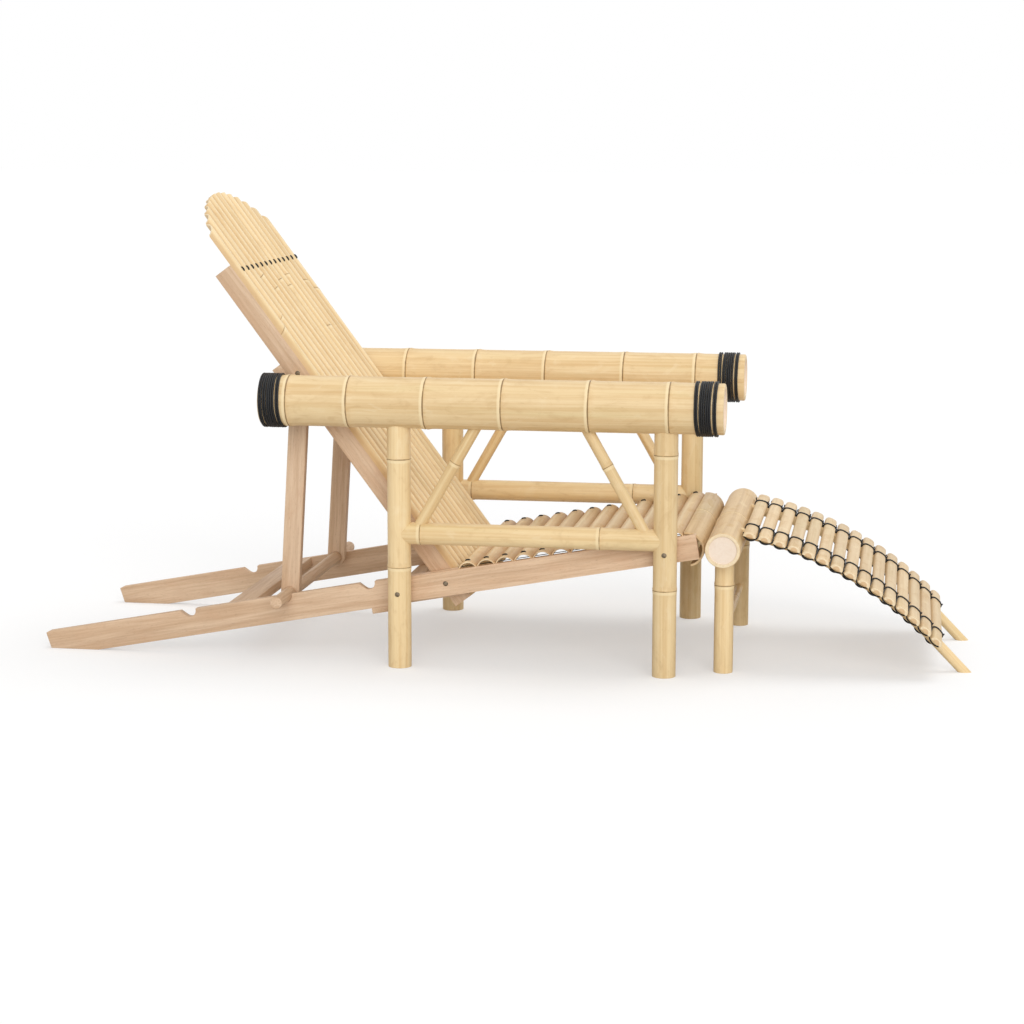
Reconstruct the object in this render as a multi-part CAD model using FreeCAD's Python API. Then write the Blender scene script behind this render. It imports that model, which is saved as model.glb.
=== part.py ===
import FreeCAD
import Part
import math
import os

# Bamboo folding recliner with a free-standing curved footrest.
# Millimetres, +Z up. +X points from the back towards the footrest, +Y is the sitter's left.
# The side view is drawn with x = 0 at the rear legs. The finished model is shifted so that its
# origin lies on the floor, in the middle of its box.

# Armrests and their cord bindings
arm_axis_y = 301.0
arm_axis_z = 558.0
arm_radius = 52.5
arm_rear_x = -288.5
arm_front_x = 676.0
arm_wall = 10.0
arm_recess_depth = 9.0
arm_nodes_x = (-220.0, -92.0, 70.0, 231.5, 411.0, 575.0)
binding_turns = 5
binding_cord_width = 7.2
binding_cord_height = 3.4
binding_cord_bevel = 1.6
binding_inner_gap = 0.7
binding_rear_length = 55.0
binding_rear_margin = 3.5
binding_front_length = 51.0
binding_front_margin = 9.5
binding_seat_gap = 0.3

# Nodes of the bamboo: a low ridge with sloping flanks
node_flank = 7.0
node_height = 1.8
cane_node_flank = 5.0
cane_node_height = 1.2

# Legs, side stretchers and braces
leg_radius = 24.5
rear_leg_x = 0.0
front_leg_x = 557.0
rear_leg_nodes_z = (213.0, 441.0)
front_leg_nodes_z = (181.5, 462.0)
stretcher_radius = 23.0
stretcher_z = 284.5
stretcher_nodes_x = (47.0, 423.0)
brace_radius = 12.0
brace_foot_offset = 34.0
brace_head_offset = 190.0
brace_node_share = 0.55
cope_gap = 0.1

# Boards of the seat frame
rail_slope_deg = 10.17
rail_depth = 52.0
rail_thickness = 17.0
rear_bolt_z = 157.8
pivot_from_rear_leg = 93.1
rail_rear_overhang = 22.0
rail_front_overhang = 65.2
notched_slope_deg = 10.5
notched_depth = 57.0
notched_step_below_rail = 0.3
notched_front_x = 125.0
notched_rear_x = -794.0
notched_tip_chamfer = 9.0
notched_tip_drop = 2.7
notched_end_lean = 11.0
notch_positions_x = (-470.4, -258.0, -76.4)
notch_centre_below_top = 2.5
notch_clearance = 0.3
notch_ramp_deg = 45.0
notch_arc_steps = 9
resting_notch = 1
front_plank_rear_x = -80.0
front_plank_width = 41.5
front_plank_thickness = 12.0
rear_plank_rear_x = -387.5
rear_plank_width = 62.0
rear_plank_thickness = 18.0
plank_gap = 0.1

# Bolts and nuts
bolt_radius = 4.0
bolt_head_radius = 5.0
bolt_head_height = 4.0
counterbore_radius = 5.4
counterbore_depth = 5.0
nut_height = 6.5
nut_across_flats = 13.0
bolt_tip = 1.0
bolt_sides = 12
running_clearance = 0.05
pivot_side_gap = 0.5
nut_side_gap = 0.3

# Seat slats, seat cords and the split culm at the front of the seat
seat_slat_count = 12
seat_slats_from = 30.2
seat_slat_gap = 0.5
seat_slat_height = 12.5
split_wall = 4.5
split_hollow_chords = 4
seat_side_gap = 8.5
seat_cord_radius = 2.0
seat_cord_height = 2.5
seat_cord_from_end = 18.0
seat_cord_notch_gap = 0.2
seat_cord_tail = 3.0
seat_cord_sides = 8
front_roll_radius = 36.5
front_roll_wall = 4.5
front_roll_inset = 23.7
front_roll_drop = 3.6
front_roll_rear_deg = 100.0
front_roll_lip_deg = -75.0
front_roll_rail_gap = 0.3
seat_to_roll_gap = 1.5

# Back
back_angle_deg = 53.4
stile_depth = 40.0
stile_thickness = 20.0
stile_foot = -53.0
stile_below_top = 170.0
back_slat_count = 13
back_slat_gap = 0.35
back_slat_height = 12.5
back_top = 976.0
back_top_arc_radius = 348.0
panel_inset = 0.5
batten_depth = 20.0
batten_width = 20.0
batten_end_gap = 0.1
head_batten_below_top = 200.0
middle_batten_from = 370.0
foot_batten_from = -45.0
rear_batten_from = 552.0
rear_batten_width = 25.0
rear_batten_depth = 21.0
stitch_length = 8.0
stitch_width = 3.0
stitch_height = 1.4

# Prop
prop_pivot_along = 540.0
prop_slat_gap = 0.3
prop_leg_thickness = 20.0
dowel_radius = 13.0
dowel_overhang = 80.5

# Footrest
footrest_roll_x = 675.0
footrest_roll_z = 267.5
footrest_roll_radius = 36.5
footrest_roll_half_length = 304.0
footrest_roll_wall = 6.5
footrest_roll_recess = 8.0
footrest_leg_radius = 20.0
footrest_leg_from_end = 63.5
footrest_leg_node_z = 185.0
footrest_stretcher_radius = 8.0
footrest_stretcher_z = 90.0
pole_radius = 10.5
pole_sides = 16
pole_y = 157.5
pole_arc_radius = 773.6
pole_start_dx = -0.72
pole_start_above_roll = 18.7
pole_socket_deg = 8.6
pole_arc_end_deg = 45.9
footrest_slat_count = 15
footrest_slat_first_deg = 12.26
footrest_slat_last_inset_deg = 1.21
footrest_slat_gap = 5.15
footrest_slat_thickness = 11.0
footrest_slat_half_length = 250.0
lashing_width = 3.4
lashing_thickness = 2.6
lashing_slat_gap = 0.3
lashing_pole_gap = 0.9
lashing_shoulder_deg = 75.0
lashing_flank_share = 0.7
lashing_crossing_share = 0.2

# Derived places
X_AXIS = FreeCAD.Vector(1, 0, 0)
Y_AXIS = FreeCAD.Vector(0, 1, 0)
Z_AXIS = FreeCAD.Vector(0, 0, 1)
rail_outer_y = arm_axis_y - leg_radius
rail_inner_y = rail_outer_y - rail_thickness
notched_inner_y = rail_inner_y - rail_thickness
stile_outer_y = notched_inner_y - pivot_side_gap
stile_inner_y = stile_outer_y - stile_thickness
prop_outer_y = stile_inner_y - pivot_side_gap
prop_inner_y = prop_outer_y - prop_leg_thickness
leg_outer_y = arm_axis_y + leg_radius
seat_half_length = rail_outer_y - seat_side_gap
panel_half_width = stile_outer_y - panel_inset
dowel_half_length = rail_inner_y + dowel_overhang
back_slat_pitch = 2 * panel_half_width / back_slat_count
rail_slope = math.radians(rail_slope_deg)
notched_slope = math.radians(notched_slope_deg)
back_angle = math.radians(back_angle_deg)
pivot_x = rear_leg_x + pivot_from_rear_leg
pivot_z = rear_bolt_z + pivot_from_rear_leg * math.tan(rail_slope)
stile_top = back_top - stile_below_top
head_batten_from = back_top - head_batten_below_top
footrest_leg_y = footrest_roll_half_length - footrest_leg_from_end
pole_start = math.radians(pole_socket_deg)
pole_arc_centre_x = footrest_roll_x + pole_start_dx - pole_arc_radius * math.sin(pole_start)
pole_arc_centre_z = footrest_roll_z + pole_start_above_roll - pole_arc_radius * math.cos(pole_start)


def at(x, z, y=0.0):
    """A point given by its place in the side view."""
    return FreeCAD.Vector(x, y, z)


def on_rail(u, v, y=0.0):
    """A point u along the seat rail from the back pivot and v above its centre line."""
    x = pivot_x + u * math.cos(rail_slope) - v * math.sin(rail_slope)
    z = pivot_z + u * math.sin(rail_slope) + v * math.cos(rail_slope)
    return at(x, z, y)


def on_notched(x, below):
    """A point at x on the notched rail's top line, moved square to it by the given depth."""
    top_over_pivot = (rail_depth / 2 - notched_step_below_rail) / math.cos(notched_slope)
    z = pivot_z + top_over_pivot + (x - pivot_x) * math.tan(notched_slope)
    return at(x + below * math.sin(notched_slope), z - below * math.cos(notched_slope))


def on_back(t, n, y=0.0):
    """A point t up the back from its pivot and n towards the sitter."""
    x = pivot_x - t * math.cos(back_angle) + n * math.sin(back_angle)
    z = pivot_z + t * math.sin(back_angle) + n * math.cos(back_angle)
    return at(x, z, y)


def plate(points, y_from, y_to):
    """A board: an outline in the side view, extruded across."""
    corners = [FreeCAD.Vector(p.x, y_from, p.z) for p in points]
    face = Part.Face(Part.makePolygon(corners + corners[:1]))
    return face.extrude(FreeCAD.Vector(0, y_to - y_from, 0))


def ring_of(centre, first, second, radius, sides):
    """Corners of a regular polygon whose flats lie at the given radius."""
    corner = radius / math.cos(math.pi / sides)
    corners = []
    for i in range(sides):
        angle = 2 * math.pi * (i + 0.5) / sides
        corners.append(centre + first * (corner * math.cos(angle)) + second * (corner * math.sin(angle)))
    return corners


def rod(start, end, radius):
    """A plain round bar from one point to another."""
    axis = end - start
    return Part.makeCylinder(radius, axis.Length, start, axis)


def mirrored(shape):
    """The same piece on the other side of the chair."""
    return shape.mirror(FreeCAD.Vector(0, 0, 0), Y_AXIS)


def largest(shape):
    """The piece that is kept when a cope cuts a bar in two."""
    return max(shape.Solids, key=lambda solid: solid.Volume)


def culm(start, end, radius, nodes, flank, ridge, grow=0.0, wall=0.0, recess=0.0):
    """A length of bamboo: a turned profile with a ridge at every node.

    nodes are distances from start. grow gives the same form a little larger, as a cutter.
    recess is how deep the node wall lies inside both open ends.
    """
    length = (end - start).Length
    outer = radius + grow
    bore = radius - wall
    profile = [(recess, 0.0)]
    if recess > 0:
        profile += [(recess, bore), (0.0, bore)]
    profile.append((0.0, outer))
    for place in nodes:
        profile += [(place - flank, outer), (place, outer + ridge), (place + flank, outer)]
    profile.append((length, outer))
    if recess > 0:
        profile += [(length, bore), (length - recess, bore)]
    profile.append((length - recess, 0.0))
    corners = [FreeCAD.Vector(s, r, 0) for s, r in profile]
    face = Part.Face(Part.makePolygon(corners + corners[:1]))
    solid = face.revolve(FreeCAD.Vector(0, 0, 0), X_AXIS, 360)
    turn = FreeCAD.Rotation(X_AXIS, end - start)
    solid.transformShape(FreeCAD.Placement(start, turn).toMatrix())
    return solid


def split_culm(half_width, height, wall, length):
    """A split length of bamboo along +X, hollow side down, its edges on z = 0."""
    outer = (half_width ** 2 + height ** 2) / (2 * height)
    centre_z = height - outer
    inner = outer - wall
    reach = math.acos(-centre_z / inner)
    a = FreeCAD.Vector(0, -half_width, 0)
    b = FreeCAD.Vector(0, 0, height)
    c = FreeCAD.Vector(0, half_width, 0)
    hollow = [c]
    for i in range(split_hollow_chords + 1):
        angle = reach * (1 - 2 * i / split_hollow_chords)
        hollow.append(FreeCAD.Vector(0, inner * math.sin(angle), centre_z + inner * math.cos(angle)))
    hollow.append(a)
    underside = Part.makePolygon(hollow)
    outline = Part.Wire([Part.Arc(a, b, c).toShape()] + underside.Edges)
    return Part.Face(outline).extrude(FreeCAD.Vector(length, 0, 0))


def half_round(half_width, height, length):
    """A solid half-round slat along +X, flat side down on z = 0."""
    a = FreeCAD.Vector(0, -half_width, 0)
    b = FreeCAD.Vector(0, 0, height)
    c = FreeCAD.Vector(0, half_width, 0)
    outline = Part.Wire([Part.Arc(a, b, c).toShape(), Part.makeLine(c, a)])
    return Part.Face(outline).extrude(FreeCAD.Vector(length, 0, 0))


def placed(shape, origin, x_dir, z_dir):
    """A copy of a shape drawn at the origin, with its X and Z turned to the given directions."""
    x_unit = FreeCAD.Vector(x_dir).normalize()
    z_unit = FreeCAD.Vector(z_dir).normalize()
    y_unit = z_unit.cross(x_unit)
    matrix = FreeCAD.Matrix(
        x_unit.x, y_unit.x, z_unit.x, origin.x,
        x_unit.y, y_unit.y, z_unit.y, origin.y,
        x_unit.z, y_unit.z, z_unit.z, origin.z,
        0, 0, 0, 1)
    copy = shape.copy()
    copy.transformShape(matrix)
    return copy


def bore(centre, y_from, y_to, radius):
    """A hole across the chair, many-sided so that the repeats stay light, never under its radius."""
    corners = ring_of(at(centre.x, centre.z), X_AXIS, Z_AXIS, radius, bolt_sides)
    return plate(corners, y_from, y_to)


def bar(centre, y_from, y_to, radius):
    """A many-sided bar across the chair that never exceeds its radius."""
    return bore(centre, y_from, y_to, radius * math.cos(math.pi / bolt_sides))


def bolt(centre, head_y, tip_y):
    """A bolt across the chair: head seat at head_y, tip towards the middle."""
    head = bar(centre, head_y, head_y + bolt_head_height, bolt_head_radius)
    return head.fuse(bar(centre, tip_y, head_y, bolt_radius))


def pivot_bolt(centre, head_y, tip_y):
    """A bolt that a piece turns on, so its shank is truly round."""
    head = bar(centre, head_y, head_y + bolt_head_height, bolt_head_radius)
    return head.fuse(rod(at(centre.x, centre.z, tip_y), at(centre.x, centre.z, head_y), bolt_radius))


def nut(centre, face_y):
    """A hexagon nut whose outer face is at face_y, with a running bore for the bolt."""
    corner = nut_across_flats / 2 / math.cos(math.radians(30))
    corners = []
    for i in range(6):
        angle = math.radians(60 * i)
        x = centre.x + corner * math.cos(angle)
        z = centre.z + corner * math.sin(angle)
        corners.append(at(x, z))
    body = plate(corners, face_y - nut_height, face_y)
    return body.cut(bore(centre, face_y - nut_height, face_y, bolt_radius + running_clearance))


def bolt_passage(centre, y_inner, y_outer):
    """The hole for a bolt, with a counterbore for its head at the outer end."""
    hole = bore(centre, y_inner, y_outer, bolt_radius + running_clearance)
    return hole.fuse(bore(centre, y_outer - counterbore_depth, y_outer, counterbore_radius))


def binding(x_from, x_to):
    """Doubled cord wound round an arm in one unbroken length, with a wider step at both ends."""
    half_width = binding_cord_width / 2
    half_height = binding_cord_height / 2
    radius = arm_radius + binding_seat_gap + half_height
    inner_step = binding_cord_width + binding_inner_gap
    travel = x_to - x_from - binding_cord_width
    outer_step = (travel - (binding_turns - 2) * inner_step) / 2
    stations = [x_from + half_width]
    for step in [outer_step] + [inner_step] * (binding_turns - 2) + [outer_step]:
        stations += [stations[-1] + step / 2, stations[-1] + step]
    last = len(stations) - 1

    def on_helix(i):
        out = radius if i % 2 == 0 else -radius
        return FreeCAD.Vector(stations[i], arm_axis_y + out, arm_axis_z)

    def heading(i):
        before, after = max(i - 1, 0), min(i + 1, last)
        advance = (stations[after] - stations[before]) / ((after - before) * math.pi)
        turn = radius if i % 2 == 0 else -radius
        return FreeCAD.Vector(advance, 0, turn).normalize()

    arcs = []
    for i in range(last):
        arcs += biarc(on_helix(i), heading(i), on_helix(i + 1), heading(i + 1))
    start = on_helix(0)
    outward = Y_AXIS
    side = heading(0).cross(outward)
    crown = half_width - binding_cord_bevel
    section = [(-half_width, -half_height), (half_width, -half_height),
               (crown, half_height), (-crown, half_height)]
    corners = [start + side * s + outward * r for s, r in section]
    sweep = Part.BRepOffsetAPI.MakePipeShell(Part.Wire(arcs))
    sweep.setBiNormalMode(X_AXIS)
    sweep.add(Part.makePolygon(corners + corners[:1]))
    sweep.build()
    sweep.makeSolid()
    steps = 8
    samples = [p for arc in arcs for p in arc.discretize(steps + 1)[:-1]]
    turn_samples = len(arcs) // binding_turns * steps
    pitch = min((samples[i + turn_samples] - samples[i]).Length for i in range(len(samples) - turn_samples))
    gap = pitch - binding_cord_width
    print(f"binding at x {x_from:.1f}: {binding_turns} turns, least gap to itself {gap:.2f}")
    return sweep.shape()


def biarc(start, start_dir, end, end_dir):
    """Two arcs that join two points and keep both headings."""
    chord = end - start
    both = start_dir + end_dir
    a = both.dot(both) - 4
    b = chord.dot(both) * -2
    c = chord.dot(chord)
    reach = (-b - math.sqrt(b * b - 4 * a * c)) / (2 * a)
    first = start + start_dir * reach
    second = end - end_dir * reach
    middle = (first + second) * 0.5
    return [tangent_arc(start, start_dir, middle), tangent_arc(middle, second - first, end)]


def tangent_arc(start, direction, end):
    """The arc that leaves start in the given direction and reaches end."""
    chord = end - start
    along = FreeCAD.Vector(direction).normalize()
    square = chord - along * chord.dot(along)
    square.normalize()
    radius = chord.dot(chord) / (2 * chord.dot(square))
    centre = start + square * radius
    to_middle = (start + end) * 0.5 - centre
    middle = centre + to_middle.normalize() * radius
    return Part.Arc(start, middle, end).toShape()


def cord_loop(inner, outward, width, thickness):
    """A closed loop of flat cord through the given points of its inner face."""
    count = len(inner)
    lift = thickness / math.cos(math.pi / count)
    rings = []
    for i in range(count):
        tangent = inner[(i + 1) % count] - inner[i - 1]
        across = tangent.cross(outward[i]).normalize() * (width / 2)
        rings.append([inner[i] - across, inner[i] + across,
                      inner[i] + across + outward[i] * lift, inner[i] - across + outward[i] * lift])
    faces = []
    for i in range(count):
        here, there = rings[i], rings[(i + 1) % count]
        for k in range(4):
            m = (k + 1) % 4
            for corners in ([here[k], here[m], there[m]], [here[k], there[m], there[k]]):
                faces.append(Part.Face(Part.makePolygon(corners + corners[:1])))
    solid = Part.makeSolid(Part.makeShell(faces))
    if solid.Volume < 0:
        solid.reverse()
    return solid


def arm_culm(grow=0.0, wall=0.0, recess=0.0):
    start = at(arm_rear_x, arm_axis_z, arm_axis_y)
    end = at(arm_front_x, arm_axis_z, arm_axis_y)
    nodes = [x - arm_rear_x for x in arm_nodes_x]
    return culm(start, end, arm_radius, nodes, node_flank, node_height, grow, wall, recess)


def leg(x, nodes, grow=0.0):
    foot = at(x, 0.0, arm_axis_y)
    top = at(x, arm_axis_z, arm_axis_y)
    return culm(foot, top, leg_radius, nodes, cane_node_flank, cane_node_height, grow)


def stretcher_culm(grow=0.0):
    start = at(rear_leg_x, stretcher_z, arm_axis_y)
    end = at(front_leg_x, stretcher_z, arm_axis_y)
    nodes = [x - rear_leg_x for x in stretcher_nodes_x]
    return culm(start, end, stretcher_radius, nodes, cane_node_flank, cane_node_height, grow)


def brace(leg_x, towards):
    """A cane from the stretcher's axis beside a leg to the arm's axis, coped to both."""
    foot = at(leg_x + towards * brace_foot_offset, stretcher_z, arm_axis_y)
    head = at(leg_x + towards * brace_head_offset, arm_axis_z, arm_axis_y)
    node = (head - foot).Length * brace_node_share
    cane = culm(foot, head, brace_radius, [node], cane_node_flank, cane_node_height)
    leg_cutter = rod(at(leg_x, 0, arm_axis_y), at(leg_x, arm_axis_z, arm_axis_y), leg_radius + cope_gap)
    return largest(cane.cut([stretcher_culm(cope_gap), arm_culm(cope_gap), leg_cutter]))


front_bolt_u = (front_leg_x - pivot_x) / math.cos(rail_slope)
rear_bolt_u = (rear_leg_x - pivot_x) / math.cos(rail_slope)
rail_front_u = front_bolt_u + rail_front_overhang
rail_rear_u = rear_bolt_u - rail_rear_overhang
pivot = on_rail(0, 0)
rear_bolt_centre = on_rail(rear_bolt_u, 0)
front_bolt_centre = on_rail(front_bolt_u, 0)
prop_pivot = on_back(prop_pivot_along, 0)
dowel_centre = on_notched(notch_positions_x[resting_notch], notch_centre_below_top)
rail_normal = on_rail(0, 1) - pivot
notched_normal = on_notched(0, -1) - on_notched(0, 0)
back_up = on_back(1, 0) - pivot
back_normal = on_back(0, 1) - pivot


def build_frame_culms(pieces):
    cutter = arm_culm(cope_gap)
    legs = {}
    for name, x, nodes, centre in (("rear_leg", rear_leg_x, rear_leg_nodes_z, rear_bolt_centre),
                                   ("front_leg", front_leg_x, front_leg_nodes_z, front_bolt_centre)):
        post = largest(leg(x, nodes).cut(cutter))
        pieces[name] = post.cut(bolt_passage(centre, arm_axis_y - leg_radius, leg_outer_y))
        legs[name] = leg(x, nodes, cope_gap)
    pieces["armrest"] = arm_culm(0.0, arm_wall, arm_recess_depth)
    pieces["side_stretcher"] = largest(stretcher_culm().cut(list(legs.values())))
    pieces["rear_brace"] = brace(rear_leg_x, 1)
    pieces["front_brace"] = brace(front_leg_x, -1)
    rear_from = arm_rear_x + binding_rear_margin
    front_to = arm_front_x - binding_front_margin
    pieces["arm_binding_rear"] = binding(rear_from, rear_from + binding_rear_length)
    pieces["arm_binding_front"] = binding(front_to - binding_front_length, front_to)


def build_boards(pieces):
    half = rail_depth / 2
    corners = [on_rail(rail_rear_u, -half), on_rail(rail_front_u, -half),
               on_rail(rail_front_u, half), on_rail(rail_rear_u, half)]
    rail = plate(corners, rail_inner_y, rail_outer_y)
    clear = bolt_radius + running_clearance
    rail = rail.cut([bore(rear_bolt_centre, rail_inner_y, rail_outer_y, clear),
                     bore(front_bolt_centre, rail_inner_y, rail_outer_y, clear),
                     bolt_passage(pivot, rail_inner_y, rail_outer_y)])
    pieces["seat_rail"] = rail

    board = plate(notched_outline(), notched_inner_y, rail_inner_y)
    board = board.cut([bore(rear_bolt_centre, notched_inner_y, rail_inner_y, clear),
                       bore(pivot, notched_inner_y, rail_inner_y, clear)])
    pieces["notched_rail"] = board


def notched_outline():
    """The inner board: a long slope down to the floor with three open notches in its top."""
    bottom = on_notched(0, notched_depth)
    toe_x = bottom.x - bottom.z / math.tan(notched_slope)
    tip = on_notched(notched_rear_x, 0)
    points = [on_notched(notched_front_x, 0), on_notched(notched_front_x, notched_depth), at(toe_x, 0.0)]
    points.append(at(notched_rear_x + notched_end_lean, 0.0))
    points.append(at(notched_rear_x, tip.z - notched_tip_drop))
    points.append(on_notched(notched_rear_x + notched_tip_chamfer, 0))
    radius = dowel_radius + notch_clearance
    for x in notch_positions_x:
        points += notch_outline(on_notched(x, notch_centre_below_top), radius)
    return points


def notch_outline(centre, radius):
    """Points of one notch from rear to front: a ramp that meets the round seat, then up the front."""
    along = FreeCAD.Vector(notched_normal.z, 0, -notched_normal.x)
    depth = notch_centre_below_top
    ramp = math.radians(notch_ramp_deg)
    entry = -(radius + depth * math.cos(ramp)) / math.sin(ramp)
    points = [centre + along * entry + notched_normal * depth]
    seat_from = 1.5 * math.pi - ramp
    for i in range(notch_arc_steps):
        angle = seat_from + (2 * math.pi - seat_from) * i / notch_arc_steps
        spoke = along * math.cos(angle) + notched_normal * math.sin(angle)
        points.append(centre + spoke * radius)
    points.append(centre + along * radius)
    points.append(centre + along * radius + notched_normal * depth)
    return points


def build_planks():
    def plank(rear_x, width, top, thickness, half_length):
        front_x = rear_x + width * math.cos(notched_slope)
        corners = [on_notched(rear_x, top), on_notched(front_x, top),
                   on_notched(front_x, top + thickness), on_notched(rear_x, top + thickness)]
        return plate(corners, -half_length, half_length)

    front = plank(front_plank_rear_x, front_plank_width, notched_depth, front_plank_thickness, rail_inner_y)
    rear = plank(rear_plank_rear_x, rear_plank_width, 0.0, rear_plank_thickness,
                 notched_inner_y - plank_gap)
    return front, rear


def build_seat():
    """Seat slats, the two cords that string them and the split culm at the front."""
    roll_u = rail_front_u - front_roll_inset
    roll_centre = on_rail(roll_u, -front_roll_drop)
    rear_edge_angle = math.radians(front_roll_rear_deg - rail_slope_deg)
    roll_rear_u = roll_u + front_roll_radius * math.cos(rear_edge_angle)
    seat_end = roll_rear_u - seat_to_roll_gap
    pitch = (seat_end - seat_slats_from) / seat_slat_count
    half_width = (pitch - seat_slat_gap) / 2
    slat = split_culm(half_width, seat_slat_height, split_wall, 2 * seat_half_length)
    top = rail_depth / 2
    slats = []
    for i in range(seat_slat_count):
        foot = on_rail(seat_slats_from + pitch * (i + 0.5), top, -seat_half_length)
        slats.append(placed(slat, foot, Y_AXIS, rail_normal))

    cord_y = seat_half_length - seat_cord_from_end
    cord_v = top + seat_cord_height
    cords = []
    notches = []
    for y in (-cord_y, cord_y):
        start = on_rail(seat_slats_from - seat_cord_tail, cord_v, y)
        end = on_rail(seat_end + seat_to_roll_gap / 2, cord_v, y)
        flats = seat_cord_radius * math.cos(math.pi / seat_cord_sides)
        outline = ring_of(start, Y_AXIS, rail_normal, flats, seat_cord_sides)
        cords.append(Part.Face(Part.makePolygon(outline + outline[:1])).extrude(end - start))
        half = seat_cord_radius + seat_cord_notch_gap
        notch_from = seat_slats_from - seat_cord_tail
        notch_to = seat_end + seat_to_roll_gap
        corners = [on_rail(notch_from, top - half), on_rail(notch_to, top - half),
                   on_rail(notch_to, cord_v + half), on_rail(notch_from, cord_v + half)]
        notches.append(plate(corners, y - half, y + half))
    slats = [s.cut(notches) for s in slats]

    arc = []
    middle_deg = (front_roll_rear_deg + front_roll_lip_deg) / 2
    for radius in (front_roll_radius, front_roll_radius - front_roll_wall):
        ends = []
        for degrees in (front_roll_rear_deg, middle_deg, front_roll_lip_deg):
            angle = math.radians(degrees)
            ends.append(roll_centre + FreeCAD.Vector(radius * math.cos(angle), 0, radius * math.sin(angle)))
        arc.append(ends)
    outer, inner = arc
    outline = Part.Wire([Part.Arc(*outer).toShape(), Part.makeLine(outer[2], inner[2]),
                         Part.Arc(*inner[::-1]).toShape(), Part.makeLine(inner[0], outer[0])])
    roll = Part.Face(outline).extrude(FreeCAD.Vector(0, 2 * seat_half_length, 0))
    roll.translate(FreeCAD.Vector(0, -seat_half_length, 0))
    gap = front_roll_rail_gap
    half = rail_depth / 2 + gap
    reach = front_roll_radius * 2
    corners = [on_rail(roll_u - reach, -half), on_rail(rail_front_u + gap, -half),
               on_rail(rail_front_u + gap, half), on_rail(roll_u - reach, half)]
    slots = [plate(corners, rail_inner_y - gap, rail_outer_y),
             plate(corners, -rail_outer_y, -rail_inner_y + gap)]
    return slats, cords, largest(roll.cut(slots))


def build_back(pieces):
    half = stile_depth / 2
    corners = [on_back(stile_foot, -half), on_back(stile_foot, half),
               on_back(stile_top, half), on_back(stile_top, -half)]
    stile = plate(corners, stile_inner_y, stile_outer_y)
    clear = bolt_radius + running_clearance
    pieces["back_stile"] = stile.cut([bore(pivot, stile_inner_y, stile_outer_y, clear),
                                      bolt_passage(prop_pivot, stile_inner_y, stile_outer_y)])

    half_width = (back_slat_pitch - back_slat_gap) / 2
    slat = split_culm(half_width, back_slat_height, split_wall, back_top - stile_foot)
    arc_centre_t = back_top - back_top_arc_radius
    edge_t = arc_centre_t + math.sqrt(back_top_arc_radius ** 2 - stile_outer_y ** 2)
    arc = Part.Arc(on_back(edge_t, 0, -stile_outer_y), on_back(back_top, 0),
                   on_back(edge_t, 0, stile_outer_y))
    left_foot = on_back(stile_foot, 0, stile_outer_y)
    right_foot = on_back(stile_foot, 0, -stile_outer_y)
    outline = Part.Wire([arc.toShape(), Part.makeLine(arc.EndPoint, left_foot),
                         Part.makeLine(left_foot, right_foot), Part.makeLine(right_foot, arc.StartPoint)])
    panel = Part.Face(outline).extrude(back_normal * (stile_depth + back_slat_height))
    outer = (half_width ** 2 + back_slat_height ** 2) / (2 * back_slat_height)
    stitch_t = head_batten_from + batten_width / 2
    slats = []
    stitches = []
    for i in range(back_slat_count):
        y = -panel_half_width + back_slat_pitch * (i + 0.5)
        foot = on_back(stile_foot, half, y)
        slats.append(placed(slat, foot, back_up, back_normal).common(panel))
        crest = on_back(stitch_t - stitch_width / 2, half + back_slat_height, y)
        stitches.append(placed(stitch(outer), crest, back_up, back_normal))
    return slats, stitches


def stitch(slat_radius):
    """A short cord across a slat's crest: its underside follows the slat."""
    reach = stitch_length / 2
    low = slat_radius - math.sqrt(slat_radius ** 2 - reach ** 2)
    top = slat_radius + stitch_height
    high = top - math.sqrt(top ** 2 - reach ** 2) - stitch_height
    a = FreeCAD.Vector(0, -reach, -low)
    b = FreeCAD.Vector(0, 0, 0)
    c = FreeCAD.Vector(0, reach, -low)
    d = FreeCAD.Vector(0, reach, -high)
    e = FreeCAD.Vector(0, 0, stitch_height)
    f = FreeCAD.Vector(0, -reach, -high)
    outline = Part.Wire([Part.Arc(a, b, c).toShape(), Part.makeLine(c, d),
                         Part.Arc(d, e, f).toShape(), Part.makeLine(f, a)])
    return Part.Face(outline).extrude(FreeCAD.Vector(stitch_width, 0, 0))


def batten(start_t, width, near_n, far_n, half_length):
    corners = [on_back(start_t, near_n), on_back(start_t + width, near_n),
               on_back(start_t + width, far_n), on_back(start_t, far_n)]
    return plate(corners, -half_length, half_length)


def prop_leg():
    """A flat leg with rounded ends between the prop's pivot and the dowel."""
    half = stile_depth / 2 - prop_slat_gap
    down = (dowel_centre - prop_pivot).normalize()
    square = FreeCAD.Vector(down.z, 0, -down.x)
    a = prop_pivot + square * half
    b = prop_pivot - down * half
    c = prop_pivot - square * half
    d = dowel_centre - square * half
    e = dowel_centre + down * half
    f = dowel_centre + square * half
    outline = Part.Wire([Part.Arc(a, b, c).toShape(), Part.makeLine(c, d),
                         Part.Arc(d, e, f).toShape(), Part.makeLine(f, a)])
    leg_solid = Part.Face(outline).extrude(FreeCAD.Vector(0, prop_leg_thickness, 0))
    leg_solid.translate(FreeCAD.Vector(0, prop_inner_y, 0))
    return leg_solid.cut([bore(prop_pivot, prop_inner_y, prop_outer_y, bolt_radius + running_clearance),
                          bore(dowel_centre, prop_inner_y, prop_outer_y, dowel_radius + running_clearance)])


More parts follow.
